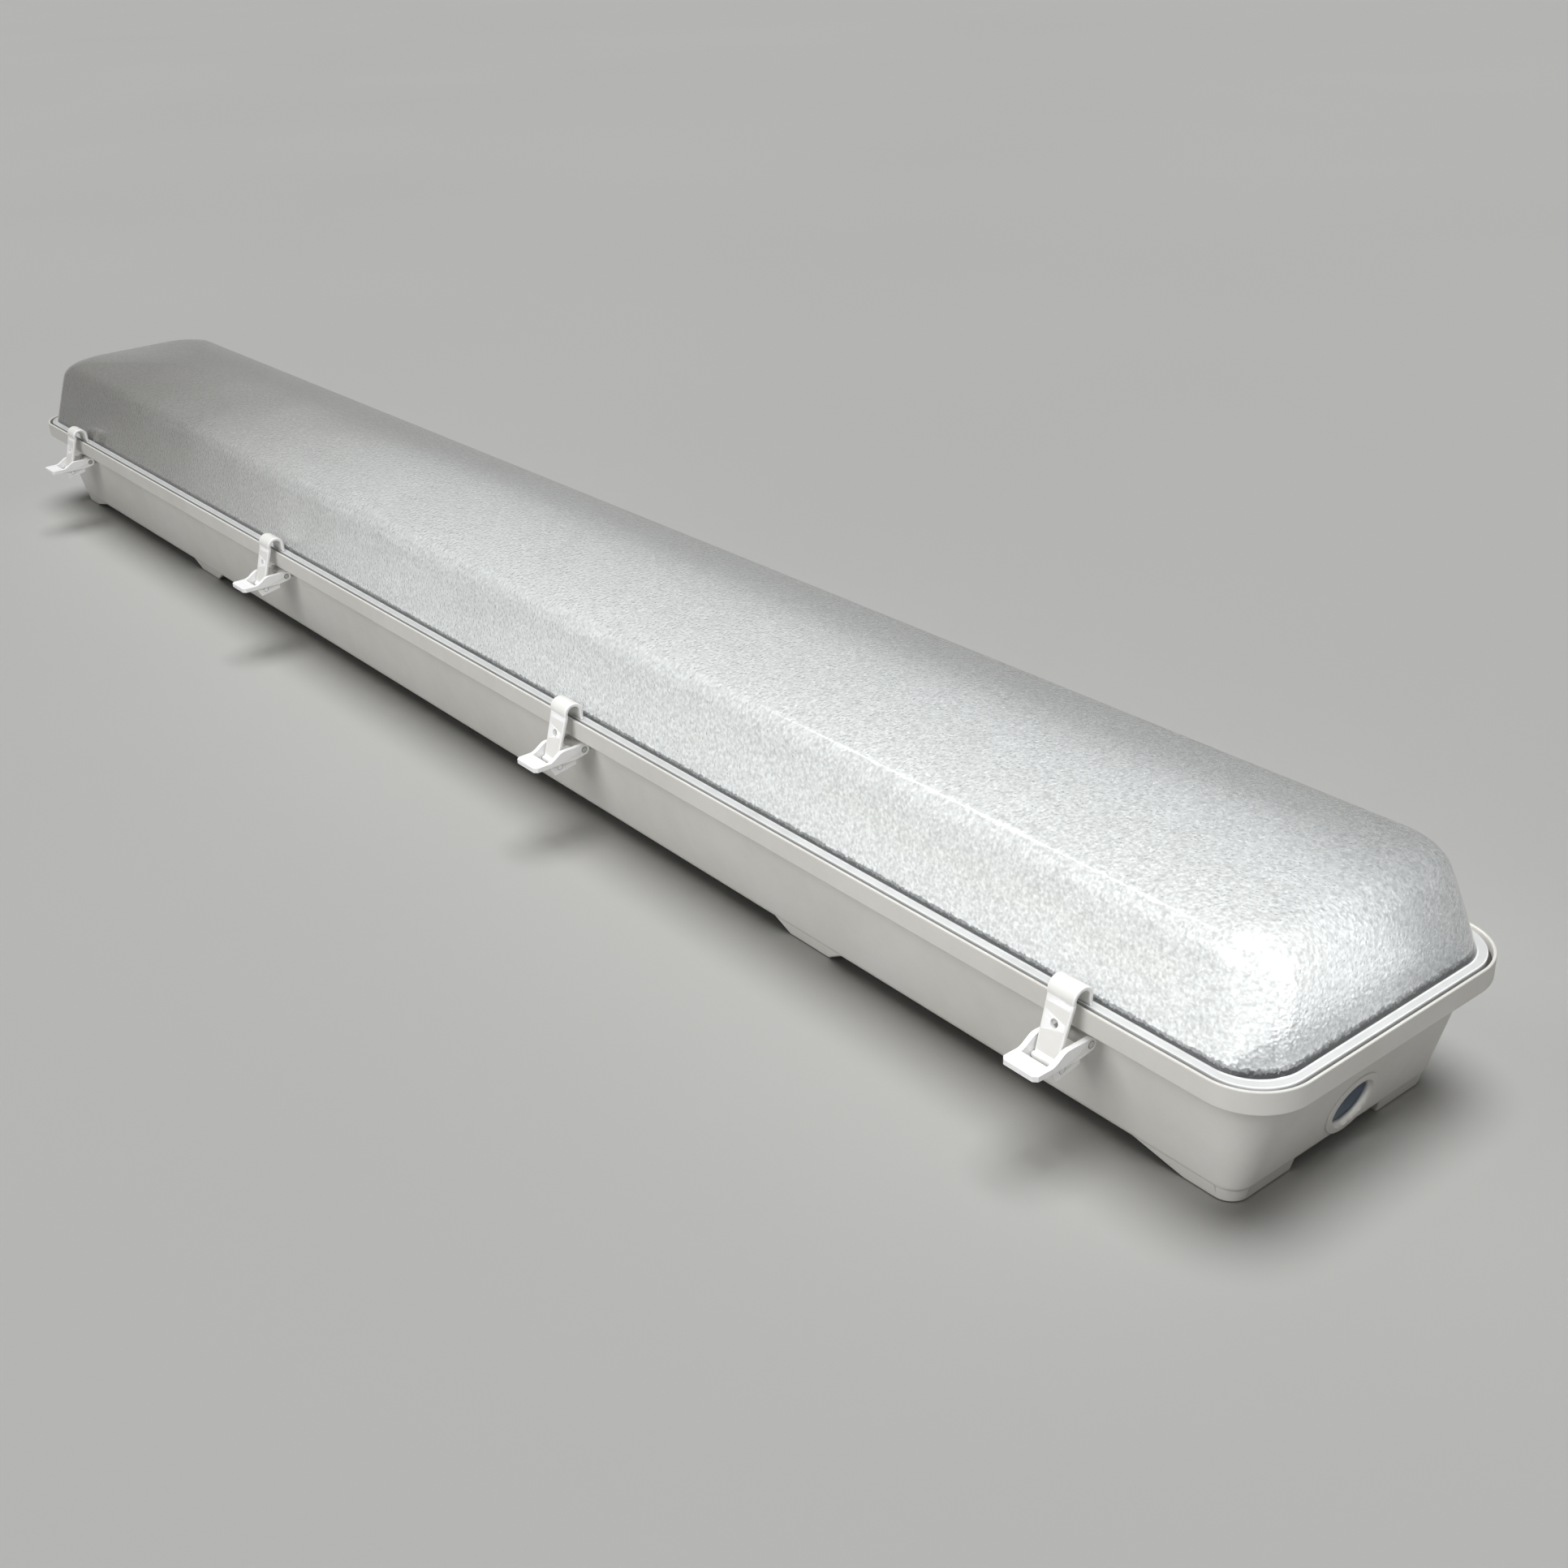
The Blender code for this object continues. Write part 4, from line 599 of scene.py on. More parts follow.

# Edges lightened in colour and polished: partly wear and partly a painted highlight.
worn_and_highlit_edges, given, result = new_group(
    "worn_and_highlit_edges",
    [
        ("Colour", "Color", WHITE),
        ("Rubbed", "Color", WHITE),
        ("Roughness", "Float", 0.5),
        ("Polish", "Float", 0.12),
    ],
    [("Colour", "Color"), ("Roughness", "Float")],
)
tree = worn_and_highlit_edges
edge = node(tree, "Attribute", attribute_name="edge").outputs["Fac"]
patch = noise(tree, object_place(tree), scale=160.0, detail=4.0)
mask = remap(tree, maths(tree, "MULTIPLY", edge, patch), (0.001, 0.008))
colour = blended(tree, mask, given["Colour"], given["Rubbed"])
drop = maths(tree, "MULTIPLY", mask, given["Polish"])
feed(tree, result, Colour=colour, Roughness=maths(tree, "SUBTRACT", given["Roughness"], drop))

settled_dust, given, result = new_group(
    "settled_dust",
    [
        ("Colour", "Color", WHITE),
        ("Dust", "Color", WHITE),
        ("Roughness", "Float", 0.5),
        ("Amount", "Float", 0.15),
    ],
    [("Colour", "Color"), ("Roughness", "Float")],
)
tree = settled_dust
up = node(tree, "SeparateXYZ", {0: node(tree, "NewGeometry").outputs["Normal"]}).outputs["Z"]
level = remap(tree, up, (0.2, 0.95))
patch = noise(tree, object_place(tree), scale=45.0, detail=6.0, roughness=0.7)
patch = remap(tree, patch, (0.35, 0.75))
mask = maths(tree, "MULTIPLY", maths(tree, "MULTIPLY", level, patch), given["Amount"])
colour = blended(tree, mask, given["Colour"], given["Dust"])
rough = maths(tree, "ADD", given["Roughness"], mask, use_clamp=True)
feed(tree, result, Colour=colour, Roughness=rough)


def placed_group(tree, group, **inputs):
    """A group node in a material; underscores in the names stand for spaces."""
    made = tree.nodes.new("ShaderNodeGroup")
    made.node_tree = group
    for key, value in inputs.items():
        socket = made.inputs[key.replace("_", " ")]
        if isinstance(value, bpy.types.NodeSocket):
            tree.links.new(value, socket)
        else:
            socket.default_value = value
    return made.outputs


DUST = (0.52, 0.50, 0.46)
# How much lighter the edges get: partly wear, partly painted highlight.
EDGE_LIGHT_GAIN = 1.22
EDGE_LIGHT_LIFT = 0.02
EDGE_LIGHT_LIMIT = 0.92


def moulded(name, colour, shade, smooth, rough, grain=0.00002, grain_scale=900.0, dust=0.12):
    """A moulded plastic: mottled colour, fine grain, edges lightened by wear and by painted highlight, a
    little dust on level faces.
    """
    made, tree, shader = principled(name)
    base = placed_group(
        tree, moulded_surface, Colour=solid_colour(colour), Shade=solid_colour(shade),
        Grain_Scale=grain_scale, Grain_Height=grain, Smoothest=smooth, Roughest=rough,
    )
    lighter = [min(c * EDGE_LIGHT_GAIN + EDGE_LIGHT_LIFT, EDGE_LIGHT_LIMIT) for c in colour]
    worn_and_lit = placed_group(
        tree, worn_and_highlit_edges, Colour=base["Colour"], Rubbed=solid_colour(lighter),
        Roughness=base["Roughness"],
    )
    dusty = placed_group(
        tree, settled_dust, Colour=worn_and_lit["Colour"], Dust=solid_colour(DUST),
        Roughness=worn_and_lit["Roughness"], Amount=dust,
    )
    feed(
        tree, shader.inputs, Base_Color=dusty["Colour"], Roughness=dusty["Roughness"],
        Normal=base["Normal"],
    )
    return made


def dress(thing, *materials):
    """Gives a piece or a CAD node its materials in place of what it has."""
    thing.data.materials.clear()
    for item in materials:
        thing.data.materials.append(item)


polyester = moulded(
    "housing_polyester_finish", POLYESTER, POLYESTER_SHADE, smooth=0.42, rough=0.58, grain=0.00003
)
# Painted shade: the faces inside the tub's wall are blended to a dark blue-grey.
tree = polyester.node_tree
inner = node(tree, "Attribute", attribute_name="inner").outputs["Fac"]
base_colour = tree.nodes["Principled BSDF"].inputs["Base Color"]
outer = base_colour.links[0].from_socket
tree.links.new(blended(tree, inner, outer, solid_colour(INSIDE_PAINTED_SHADE)), base_colour)
dress(housing, polyester)

# Gasket
# A dark foam cord poured into the rim's channel; only a thin line of it shows beside the lens.
FOAM = (0.030, 0.030, 0.030)
FOAM_SHADE = (0.045, 0.044, 0.042)
gasket_foam = moulded(
    "gasket_foam_finish", FOAM, FOAM_SHADE, smooth=0.8, rough=0.95, grain=0.00008, dust=0.1
)
dress(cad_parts["rim_gasket"], gasket_foam)

# Lens
# One clear acrylic moulding, glossy outside and pebbled inside: a foot flange with a tongue that
# presses on the gasket, leaning walls, round shoulders and a gently arched roof.
LENS_WALL = 0.0025
LENS_FOOT = 0.0070
FLANGE_TOP = 0.0700
FLANGE = 0.0020
FLANGE_GAP = 0.0019
FLANGE_ROUNDS = (0.0004, 0.0004, 0.0004, 0.0007, 0.0008)
TONGUE = 0.0018
TONGUE_TIP = 0.0667
CROWN = 0.1263
LENS_CORNER = 0.0225
ROOF_CORNER_SHARE = 0.90
# foot, lean of the wall, shoulder radius, roof radius and where the roof's circle has its middle
SIDE_SHAPE = (HALF_WIDTH - LENS_FOOT, math.radians(15.0), 0.0140, 0.2000, 0.0)
END_SHAPE = (HALF_LENGTH - LENS_FOOT, math.radians(14.0), 0.0210, 1.1000, 0.5000)
WALL_STEPS = 6
SHOULDER_STEPS = 22
ROOF_STEPS = 40
CROWN_SHARE = 0.012
FLANGE_INSET = CHANNEL_OUT + FLANGE_GAP


def section(foot, lean, shoulder, roof, middle, inset):
    """A section's circles: the shoulder touches the leaning wall and the roof arc, each drawn in by inset."""
    shoulder, roof = shoulder - inset, roof - inset
    out = np.array((math.cos(lean), math.sin(lean)))
    up = np.array((-math.sin(lean), math.cos(lean)))
    base = np.array((foot, FLANGE_TOP)) - out * inset
    roof_centre = np.array((middle, CROWN - inset - roof))
    aside = out @ base - shoulder - out @ roof_centre
    centre = roof_centre + out * aside + up * math.sqrt((roof - shoulder) ** 2 - aside**2)
    wall_top = centre[1] + shoulder * math.sin(lean)
    roof_foot = roof_centre[1] + roof * (centre[1] - roof_centre[1]) / (roof - shoulder)
    return base, lean, centre, shoulder, roof_centre, roof, wall_top, roof_foot


def reach_at(parts, height):
    """How far out a section is at each height: on the wall, on the shoulder circle or on the roof circle."""
    base, lean, centre, shoulder, roof_centre, roof, wall_top, roof_foot = parts
    on_wall = base[0] - (height - base[1]) * math.tan(lean)
    on_shoulder = centre[0] + np.sqrt(np.maximum(shoulder**2 - (height - centre[1]) ** 2, 0.0))
    on_roof = roof_centre[0] + np.sqrt(np.maximum(roof**2 - (height - roof_centre[1]) ** 2, 0.0))
    return np.where(height <= wall_top, on_wall, np.where(height <= roof_foot, on_shoulder, on_roof))


def lens_rows(inset, start):
    """Rows of one face of the lens from its foot to its crown, even along wall, shoulder and roof."""
    side, end = section(*SIDE_SHAPE, inset), section(*END_SHAPE, inset)
    _, lean, centre, shoulder, roof_centre, roof, wall_top, roof_foot = side
    top_turn = math.asin((roof_foot - centre[1]) / shoulder)
    on_wall = np.linspace(start, wall_top, WALL_STEPS + 1)
    on_shoulder = centre[1] + shoulder * np.sin(np.linspace(lean, top_turn, SHOULDER_STEPS + 1)[1:])
    reach = reach_at(side, np.array(roof_foot)) * np.linspace(1.0, CROWN_SHARE, ROOF_STEPS + 1)[1:]
    on_roof = roof_centre[1] + np.sqrt(roof**2 - reach**2)
    height = np.concatenate((on_wall, on_shoulder, on_roof))
    half_width = reach_at(side, height)
    radius = np.minimum(LENS_CORNER - inset, ROOF_CORNER_SHARE * half_width)
    return np.column_stack((reach_at(end, height), half_width, radius, height))


inside = lens_rows(LENS_WALL, FLANGE_TOP - FLANGE)
outside = lens_rows(0.0, FLANGE_TOP)
flange = [
    inside[0],
    rim_row(FLANGE_INSET + TONGUE, FLANGE_TOP - FLANGE),
    rim_row(FLANGE_INSET + TONGUE, TONGUE_TIP),
    rim_row(FLANGE_INSET, TONGUE_TIP),
    rim_row(FLANGE_INSET, FLANGE_TOP),
    outside[0],
    outside[1],
]
flange = corner_rounded(flange, FLANGE_ROUNDS)[1:-1]
lens = skin("lens", oblong_grid(np.concatenate((inside[::-1], flange, outside[1:]))))
loop_points = 4 * (CORNER_STEPS + 1)
OUTER_FACE, INNER_FACE, FLANGE_FACE = range(3)
strip = np.arange(len(lens.data.polygons)) // loop_points
face_kind = np.where(strip < len(inside) + len(flange) - 2, FLANGE_FACE, OUTER_FACE)
face_kind[strip < len(inside) - 1] = INNER_FACE
face_kind[-2:] = (INNER_FACE, OUTER_FACE)
mark_edges(lens.data)

PEBBLE_SCALE = 700.0
PEBBLE_WARP = 0.0012
pebbled_face, given, result = new_group(
    "pebbled_face",
    [("Scale", "Float", PEBBLE_SCALE), ("Height", "Float", 0.00022)],
    [("Normal", "Vector"), ("Grain", "Float")],
)
tree = pebbled_face
place = node(tree, "TexCoord").outputs["Object"]
warp = node(tree, "TexNoise", {"Vector": place, "Scale": 260.0, "Detail": 1.0}).outputs[1]
moved = node(tree, "VectorMath", {0: place, 1: scaled(tree, warp, PEBBLE_WARP)}, operation="ADD")
sockets = {"Vector": moved.outputs[0], "Scale": given["Scale"]}
cells = node(tree, "TexVoronoi", sockets, feature="SMOOTH_F1").outputs["Distance"]
clump = noise(tree, place, scale=500.0, detail=3.0, roughness=0.65)
clump = remap(tree, clump, (0.41, 0.59))
pebble = remap(tree, cells, (0.10, 0.60), (1.0, 0.0))
grain = node(tree, "Mix", {0: 0.5, 2: clump, 3: pebble}).outputs[0]
bump = node(tree, "Bump", {"Height": cells, "Distance": given["Height"], "Strength": 1.0})
feed(tree, result, Normal=bump.outputs[0], Grain=grain)

# Painted shade at the lens's foot, for the gasket and the shaded channel seen through the clear wall; taller
# round the near end.
FOOT_LINE = 0.0022
FOOT_BAND = 0.0032
FOOT_RAGGED = 0.5
FOOT_FADE = (1.05, 1.30)
BAND_START = 0.6000
# Painted shade that turns the lens's tint warm grey towards the far end.
FAR_SHADE_START = 0.1500
FAR_SHADE_END = -0.5000
FAR_SHADE_DRIFT = 0.3
HAZE_ROUGHER = 1.35
ACRYLIC_IOR = 1.49
COAT_ROUGHNESS = 0.03
LENS_CLEAR = (0.965, 0.985, 0.99)
# Warm grey of the painted shade towards the far end.
LENS_FAR_SHADE = (0.41, 0.40, 0.38)
# Painted shade in soft bands across the roof, darker on its back half.
ROOF_SHADE_BANDS = (
    # painted shade across the roof: distance across the fixture, share of the tint kept
    (-0.080, 1.00),
    (-0.058, 0.97),
    (-0.035, 0.97),
    (-0.010, 1.00),
    (0.006, 0.97),
    (0.030, 0.78),
    (0.074, 0.62),
    (0.088, 0.90),
)
SHADE_BANDS_REACH = 0.10
# Colour of the painted shade at the lens's foot.
FOOT_SHADE_COLOUR = (0.10, 0.105, 0.11)


def acrylic(name, transmission, roughness, coat, painted_sparkle, pebble_height):
    """Acrylic with a constant share of light let through.

    Its tint is lighter on the pebbles than between them, a painted sparkle. It turns warm grey towards the
    far end and has soft bands along the roof, darker on its back half: both are painted shade. At the foot a
    painted shade darkens it for the gasket and the shaded channel seen through the clear wall; it is taller
    round the near end.
    """
    made, tree, shader = principled(
        name, IOR=ACRYLIC_IOR, Transmission_Weight=transmission,
        Coat_Weight=coat, Coat_Roughness=COAT_ROUGHNESS,
    )
    place = object_place(tree)
    axes = node(tree, "SeparateXYZ", {0: place}).outputs
    haze = noise(tree, place, scale=9.0, detail=4.0)
    pebbles = placed_group(tree, pebbled_face, Height=pebble_height)
    # Painted shade: warm grey towards the far end.
    drift = maths(tree, "MULTIPLY_ADD", haze, FAR_SHADE_DRIFT, axes["X"])
    far_shade = remap(tree, drift, (FAR_SHADE_START, FAR_SHADE_END), interpolation_type="SMOOTHSTEP")
    tint = blended(tree, far_shade, solid_colour(LENS_CLEAR), solid_colour(LENS_FAR_SHADE))
    # Painted sparkle: the tint is lighter on the pebbles than between them.
    tint = scaled(tree, tint, remap(tree, pebbles["Grain"], onto=(1.0 - painted_sparkle, 1.0)))
    # Painted shade in bands across the roof.
    across = remap(tree, axes["Y"], (-SHADE_BANDS_REACH, SHADE_BANDS_REACH))
    bands = node(tree, "ValToRGB", {0: across})
    stops = bands.color_ramp.elements
    stops.remove(stops[1])
    for y, share in ROOF_SHADE_BANDS:
        position = (y + SHADE_BANDS_REACH) / (2.0 * SHADE_BANDS_REACH)
        stop = stops[0] if y == ROOF_SHADE_BANDS[0][0] else stops.new(position)
        stop.position, stop.color = position, solid_colour((share, share, share))
    tint = node(tree, "VectorMath", {0: tint, 1: bands.outputs[0]}, operation="MULTIPLY").outputs[0]
    # Painted shade at the foot, ragged along the pebbles.
    tall = remap(tree, axes["X"], (BAND_START, HALF_LENGTH), (FOOT_LINE, FOOT_BAND))
    climb = maths(tree, "DIVIDE", maths(tree, "SUBTRACT", axes["Z"], FLANGE_TOP), tall)
    climb = maths(tree, "MULTIPLY_ADD", pebbles["Grain"], FOOT_RAGGED, climb)
    dark = remap(tree, climb, FOOT_FADE, (1.0, 0.0))
    tint = blended(tree, dark, tint, solid_colour(FOOT_SHADE_COLOUR))
    rough = remap(tree, haze, NOISE_SPAN, (roughness, roughness * HAZE_ROUGHER))
    feed(tree, shader.inputs, Base_Color=tint, Roughness=rough, Normal=pebbles["Normal"])
    return made


lens_outside = acrylic(
    "lens_outside_finish", transmission=0.90, roughness=0.08, coat=0.6,
    painted_sparkle=0.36, pebble_height=0.00020,
)
lens_inside = acrylic(
    "lens_inside_finish", transmission=0.62, roughness=0.30, coat=0.0,
    painted_sparkle=0.50, pebble_height=0.00028,
)
FLANGE_COLOUR = (0.52, 0.53, 0.53)
FLANGE_SHADE = (0.46, 0.47, 0.47)
lens_flange = moulded(
    "lens_flange_finish", FLANGE_COLOUR, FLANGE_SHADE,
    smooth=0.12, rough=0.22, grain=0.000005, dust=0.04,
)
dress(lens, lens_outside, lens_inside, lens_flange)
lens.data.polygons.foreach_set("material_index", face_kind.astype(np.int32))
beside_lens = all_but("beside_lens", lens)
for fill in fills:
    fill.light_linking.blocker_collection = beside_lens
only_lens = bpy.data.collections.new("only_lens")
only_lens.objects.link(lens)
for fill in fills[-LENS_LAMPS:]:
    fill.light_linking.receiver_collection = only_lens
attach(lens, "housing")
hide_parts("lens_cover")

# Latches
# Each is two white plastic mouldings: a lever with two deep arms and a thumb bar that turns on a
# steel pin in the tub's lug, and a strap that hooks over the rim and turns in the lever's heels.
LEVER_HALF_WIDTH = 0.0098
ARM = 0.0026
EYE = 0.0030
LEVER_LEVEL = 0.0125
ARM_TOP = 0.0031
ARM_BOTTOM = 0.0039
BAR_TIP = (-0.0315, -0.0025)
BAR_DEPTH = 0.0090
BAR_HALF = 0.00125
BAR_CORNER = 0.0018
BAR_CORNER_SIDES = 4
HEEL_TIP_DROP = 0.0093
HEEL_OUTLINE = (
    (-0.0055, -0.00345),
    (-0.0220, -0.00345),
    (-0.0190, -HEEL_TIP_DROP),
    (-0.0055, -0.0069),
)
HEEL = 0.0017
STRAP_PIVOT = (-0.0155, -0.0055)
TRUNNION = 0.0014
FIT = 0.0003
LEVER_ROUND = 0.00055
LEVER_ROUND_STEPS = 3
EYE_STEPS = 14
SWEEP_POINTS = 18


def lever_form():
    """The lever about its pin: a round eye, a level arm, a cosine sweep to the thumb bar and the slot."""
    top, bottom = BAR_TIP[1] + BAR_HALF, BAR_TIP[1] - BAR_HALF
    eye = arc((0.0, 0.0), EYE, -math.pi / 2, math.pi / 2, EYE_STEPS)
    share = np.linspace(0.0, 1.0, SWEEP_POINTS)
    fall = (1 - np.cos(math.pi * share)) / 2
    start, end = np.array((-LEVER_LEVEL, ARM_TOP)), np.array((BAR_TIP[0] + BAR_DEPTH, top))
    along = start[0] + (end[0] - start[0]) * share
    sweep = np.column_stack((along, start[1] + (end[1] - start[1]) * fall))
    tip = [(BAR_TIP[0], top), (BAR_TIP[0], bottom), (HEEL_OUTLINE[0][0], -ARM_BOTTOM)]
    outline = np.concatenate((eye, sweep, tip))
    made = yz_prism("lever_form", outline, -LEVER_HALF_WIDTH, LEVER_HALF_WIDTH)
    slot = LEVER_HALF_WIDTH - ARM
    deep = HEEL_TIP_DROP + OVERRUN
    cut = [block("slot", (-slot, BAR_TIP[0] + BAR_DEPTH, -deep), (slot, EYE + OVERRUN, deep))]
    for sign in (-1, 1):
        x = sign * LEVER_HALF_WIDTH
        ends = ((x, BAR_TIP[0], -deep), (x, BAR_TIP[0], deep))
        cut.append(rod(f"bar_corner_{sign}", BAR_CORNER, *ends, BAR_CORNER_SIDES))
    shaped(made, cut=cut)
    heels = []
    for sign in (-1, 1):
        x0, x1 = sorted((sign * slot, sign * (slot + HEEL)))
        heels.append(yz_prism(f"heel_{sign}", HEEL_OUTLINE[::-1], x0, x1))
    reach = LEVER_HALF_WIDTH + OVERRUN
    eyes = []
    for number, ((y, z), radius) in enumerate((((0.0, 0.0), PIN_HOLE), (STRAP_PIVOT, TRUNNION + FIT))):
        eyes.append(rod(f"eye_{number}", radius, (-reach, y, z), (reach, y, z), PIN_HOLE_SIDES))
    shaped(made, joined=heels)
    return shaped(made, cut=eyes, bevel=LEVER_ROUND, bevel_steps=LEVER_ROUND_STEPS)


HOOK_CENTRE = (0.0128, 0.0270)
HOOK_RADIUS = 0.0048
STRAP_HALF = 0.00105
STRAP_FOOT_HALF = 0.0062
STRAP_HOOK_HALF = 0.0076
STRAP_SIDES = 28
STRAP_END = 0.0223
STRAP_END_SHARE = 0.55
STRAP_EYE = 0.0020
STRAP_EYE_CORE = 0.0004
STRAP_EYE_ROUND = 0.0005
STRAP_HOLE = 0.0021
STRAP_HOLE_UP = 0.0165
STRAP_ROUND = 0.00085
STRAP_ROUND_STEPS = 4
STRAP_EDGE = 0.0002
STRAP_REACH = LEVER_HALF_WIDTH - ARM + HEEL
TRUNNION_SIDES = 24
HOOK_STEPS = 30
SHANK_POINTS = 10
LEG_POINTS = 5


def strap_form():
    """The strap about its trunnions: a rounded rectangle carried up, over the hook and down its leg."""
    line = np.array(HOOK_CENTRE)
    lean = math.atan2(line[0], line[1]) - math.asin(HOOK_RADIUS / np.linalg.norm(line))
    hook = arc(HOOK_CENTRE, HOOK_RADIUS, math.pi + lean, 0.0, HOOK_STEPS)
    shank = np.linspace((0.0, 0.0), hook[0], SHANK_POINTS)[:-1]
    leg = np.linspace(hook[-1], (hook[-1][0], STRAP_END), LEG_POINTS)[1:]
    middle = np.concatenate((shank, hook, leg))
    along = np.gradient(middle, axis=0)
    along /= np.linalg.norm(along, axis=1, keepdims=True)
    across = np.column_stack((-along[:, 1], along[:, 0]))
    top = middle[:, 1].max()
    spread = np.clip(middle[:, 1], 0.0, None) / top
    half = STRAP_FOOT_HALF + (STRAP_HOOK_HALF - STRAP_FOOT_HALF) * spread
    shrink = np.ones(len(middle))
    shrink[-1] = STRAP_END_SHARE
    corners = np.array(((1, -1), (1, 1), (-1, 1), (-1, -1), (1, -1), (1, 1)), float)
    loops = []
    for point, normal, width, size in zip(middle, across, half, shrink):
        limit = np.array((width, STRAP_HALF * size))
        outline = corner_rounded(corners * limit, [STRAP_ROUND * size] * 4, STRAP_ROUND_STEPS)[1:-1]
        yz = point + outline[:, 1:] * normal
        loops.append(np.column_stack((outline[:, 0], yz)))
    made = skin("strap_form", np.array(loops)[:, ::-1])
    half = STRAP_FOOT_HALF
    core = STRAP_EYE_CORE
    profile = ((core, -half), (STRAP_EYE, -half), (STRAP_EYE, half), (core, half))
    eye = turned("strap_eye", corner_rounded(profile, [STRAP_EYE_ROUND] * 2), STRAP_SIDES)
    eye.data.transform(Matrix.Rotation(math.pi / 2, 4, "Y"))
    ends = ((-STRAP_REACH, 0.0, 0.0), (STRAP_REACH, 0.0, 0.0))
    trunnion = rod("trunnion", TRUNNION, *ends, TRUNNION_SIDES)
    up = np.array((0.0, math.sin(lean), math.cos(lean)))
    through = np.array((0.0, math.cos(lean), -math.sin(lean)))
    middle = up * STRAP_HOLE_UP
    deep = through * (STRAP_HALF + OVERRUN)
    hole = rod("strap_hole", STRAP_HOLE, middle - deep, middle + deep, STRAP_SIDES)
    return shaped(made, joined=(eye, trunnion), cut=(hole,), bevel=STRAP_EDGE)


LATCH_WHITE = (0.800, 0.795, 0.770)
LATCH_SHADE = (0.770, 0.762, 0.730)
latch_plastic = moulded(
    "latch_plastic_finish", LATCH_WHITE, LATCH_SHADE,
    smooth=0.30, rough=0.42, grain=0.000015, dust=0.06,
)
lever_pattern, strap_pattern = lever_form(), strap_form()
for pattern, word, y, z in (
    (lever_pattern, "lever", PIVOT_OUT, PIVOT_HEIGHT),
    (strap_pattern, "strap", PIVOT_OUT - STRAP_PIVOT[0], PIVOT_HEIGHT + STRAP_PIVOT[1]),
):
    dress(pattern, latch_plastic)
    for label, side in SIDES.items():
        turn = Matrix.Rotation(math.pi * (side > 0), 4, "Z")
        for number, x in enumerate(LATCH_PLACES, 1):
            name = f"{word}_{label}_{number}"
            made = bpy.data.objects.new(name, pattern.data.copy())
            made.data.name = name
            made.data.transform(Matrix.Translation((x, side * y, z)) @ turn)
            scene.collection.objects.link(made)
            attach(made, name)
            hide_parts(f"latch_{name}")
    bpy.data.objects.remove(pattern, do_unlink=True)

# Pins and screws
# The steel pins that carry the levers, and the screws of tray, driver, terminal block and earth
# lead. They are bright, drawn or rolled, with fine scratches that run every way.
STEEL = (0.66, 0.66, 0.64)
STEEL_SHADE_SPAN = (0.88, 1.0)


def bright_metal(name, colour, smooth, rough):
    """Polished metal whose roughness changes along fine scratches."""
    made, tree, shader = principled(name, Metallic=1.0)
    place = object_place(tree)
    scratch = noise(tree, place, scale=700.0, detail=6.0, distortion=1.5)
    cloud = noise(tree, place, scale=120.0, detail=2.0)
    tint = scaled(tree, colour, remap(tree, cloud, NOISE_SPAN, STEEL_SHADE_SPAN))
    gloss = remap(tree, scratch, NOISE_SPAN, (smooth, rough))
    bump = node(tree, "Bump", {"Height": scratch, "Distance": 0.00001, "Strength": 0.6})
    feed(tree, shader.inputs, Base_Color=tint, Roughness=gloss, Normal=bump.outputs[0])
    return made


pin_steel = bright_metal("pin_steel_finish", STEEL, smooth=0.22, rough=0.42)
for name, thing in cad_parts.items():
    if "screw" in name or name.startswith("lever_pin"):
        dress(thing, pin_steel)

# Tray and boards
# The tray is folded steel with white baked paint. It carries two rows of white circuit boards
# with small light sources, and the driver and terminal block hang under it.
LED_PITCH = 0.0115
LED_COUNT = 48
BOARD_TOP = 0.0629
BOARD_START = 0.0050
BOARD_LENGTH = 0.5600
BOARD_ROW = 0.0280
LED_HALF = (0.0014, 0.00175)
LED_HEIGHT = 0.0008
LED_SIDES = 8
LED_SQUARENESS = 0.5
LED_SHAPE = (
    # share of the width, share of the height, share of phosphor
    (1.00, 0.00, 0.0),
    (1.00, 0.60, 0.0),
    (0.90, 1.00, 0.2),
    (0.62, 0.92, 1.0),
    (0.35, 0.88, 1.0),
)


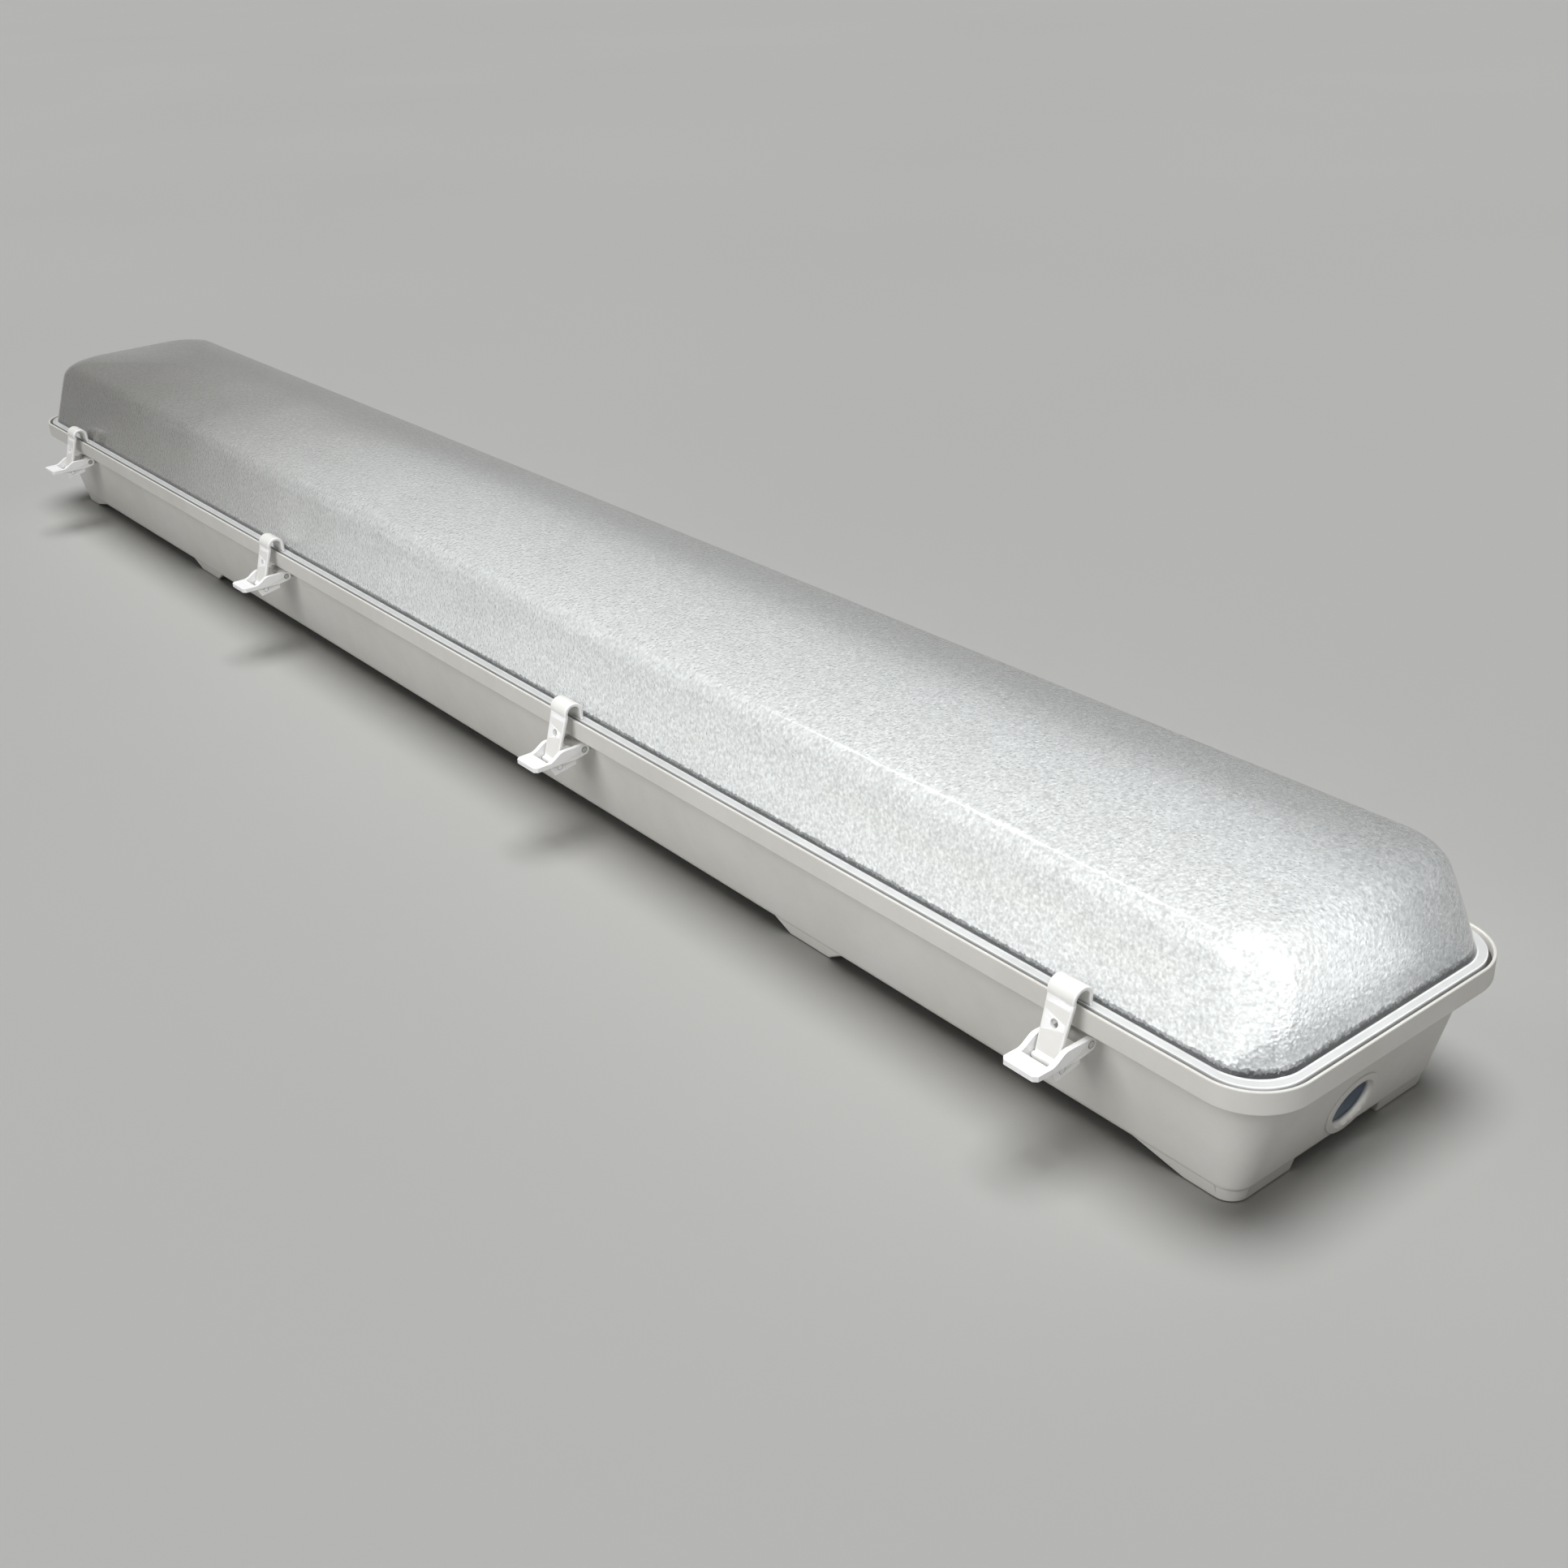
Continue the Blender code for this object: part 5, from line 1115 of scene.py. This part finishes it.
def led_strip(name, start, y):
    """Light sources in a row: one small pillow of rounded loops, copied along the board.

    A loop is the squarish oval |cos a|^s, |sin a|^s with their signs, and each copy adds its offset.
    """
    turn = (np.arange(LED_SIDES) + 0.5) * 2 * math.pi / LED_SIDES
    x = np.sign(np.cos(turn)) * np.abs(np.cos(turn)) ** LED_SQUARENESS * LED_HALF[0]
    across = np.sign(np.sin(turn)) * np.abs(np.sin(turn)) ** LED_SQUARENESS * LED_HALF[1]
    loops = []
    for share, height, _ in LED_SHAPE:
        level = np.full(LED_SIDES, BOARD_TOP + LED_HEIGHT * height)
        loops.append(np.column_stack((x * share, across * share, level)))
    pattern = np.array(loops)
    index = np.arange(len(LED_SHAPE) * LED_SIDES).reshape(-1, LED_SIDES)
    low, high = index[:-1], index[1:]
    faces = np.stack((low, np.roll(low, -1, 1), np.roll(high, -1, 1), high), axis=-1).reshape(-1, 4)
    steps = np.arange(LED_COUNT)
    begin = start + LED_PITCH * (steps + 0.5)
    offset = np.column_stack((begin, np.full(LED_COUNT, y), np.zeros(LED_COUNT)))
    points = (pattern.reshape(-1, 3)[None] + offset[:, None]).reshape(-1, 3)
    jump = (steps * index.size)[:, None]
    quads = (faces[None] + jump[:, :, None]).reshape(-1, 4).tolist()
    ends = (index[0, ::-1] + jump).tolist() + (index[-1] + jump).tolist()
    made = mesh_object(name, points, quads + ends)
    glow = np.tile(np.repeat([row[2] for row in LED_SHAPE], LED_SIDES), LED_COUNT)
    phosphor = made.data.attributes.new("phosphor", "FLOAT", "POINT")
    phosphor.data.foreach_set("value", glow.astype(np.float32))
    return made


PHOSPHOR_YELLOW = (0.80, 0.70, 0.36)
PHOSPHOR_SPAN = (0.9, 1.0)
LED_WHITE = (0.80, 0.80, 0.78)
led_finish, tree, shader = principled("led_finish")
phosphor = node(tree, "Attribute", attribute_name="phosphor").outputs["Fac"]
speck = noise(tree, object_place(tree), scale=2500.0, detail=2.0)
yellow = scaled(tree, PHOSPHOR_YELLOW, remap(tree, speck, NOISE_SPAN, PHOSPHOR_SPAN))
colour = blended(tree, phosphor, solid_colour(LED_WHITE), yellow)
rough = remap(tree, phosphor, onto=(0.30, 0.60))
feed(tree, shader.inputs, Base_Color=colour, Roughness=rough)

margin = (BOARD_LENGTH - LED_PITCH * LED_COUNT) / 2
for row, side in SIDES.items():
    for end, start in (("near", BOARD_START), ("far", -BOARD_START - BOARD_LENGTH)):
        made = led_strip(f"leds_{row}_{end}", start + margin, side * BOARD_ROW)
        dress(made, led_finish)
        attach(made, "housing")

INNER_PLASTICS = {
    # colour, shade, smoothest, roughest, height and scale of the grain
    "tray_enamel": ((0.82, 0.82, 0.81), (0.79, 0.79, 0.775), 0.25, 0.38, 0.00001, 400.0),
    "board_resist": ((0.80, 0.80, 0.76), (0.76, 0.76, 0.71), 0.28, 0.42, 0.000005, 900.0),
    "driver_case": ((0.66, 0.67, 0.68), (0.60, 0.61, 0.62), 0.35, 0.50, 0.00002, 900.0),
    "terminal_plastic": ((0.22, 0.25, 0.30), (0.18, 0.21, 0.26), 0.40, 0.55, 0.00002, 900.0),
    "white_nylon": ((0.80, 0.80, 0.77), (0.76, 0.76, 0.73), 0.35, 0.50, 0.00001, 900.0),
    "black_rubber": ((0.035, 0.035, 0.036), (0.055, 0.054, 0.052), 0.60, 0.80, 0.00004, 900.0),
}
plastics = {name: moulded(f"{name}_finish", *look) for name, look in INNER_PLASTICS.items()}
INNER_FINISHES = {
    "gear_tray": plastics["tray_enamel"], "led_driver": plastics["driver_case"],
    "terminal_block": plastics["terminal_plastic"], "board_link_front": plastics["terminal_plastic"],
    "board_link_back": plastics["terminal_plastic"], "wire_grommet": plastics["white_nylon"],
    "entry_plug": plastics["black_rubber"],
}
for row in SIDES:
    for end in ("near", "far"):
        INNER_FINISHES[f"led_board_{row}_{end}"] = plastics["board_resist"]
LEADS = {
    "live_lead": (0.20, 0.08, 0.03),
    "neutral_lead": (0.04, 0.12, 0.45),
    "earth_lead": (0.06, 0.30, 0.05),
    "led_lead_plus": (0.55, 0.02, 0.02),
    "led_lead_minus": (0.02, 0.02, 0.02),
}
LEAD_SHADE = 0.8
for name, colour in LEADS.items():
    shade = [c * LEAD_SHADE for c in colour]
    INNER_FINISHES[name] = moulded(
        f"{name}_finish", colour, shade, smooth=0.30, rough=0.45, grain=0.000005, dust=0.05
    )
for name, finish in INNER_FINISHES.items():
    dress(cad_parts[name], finish)
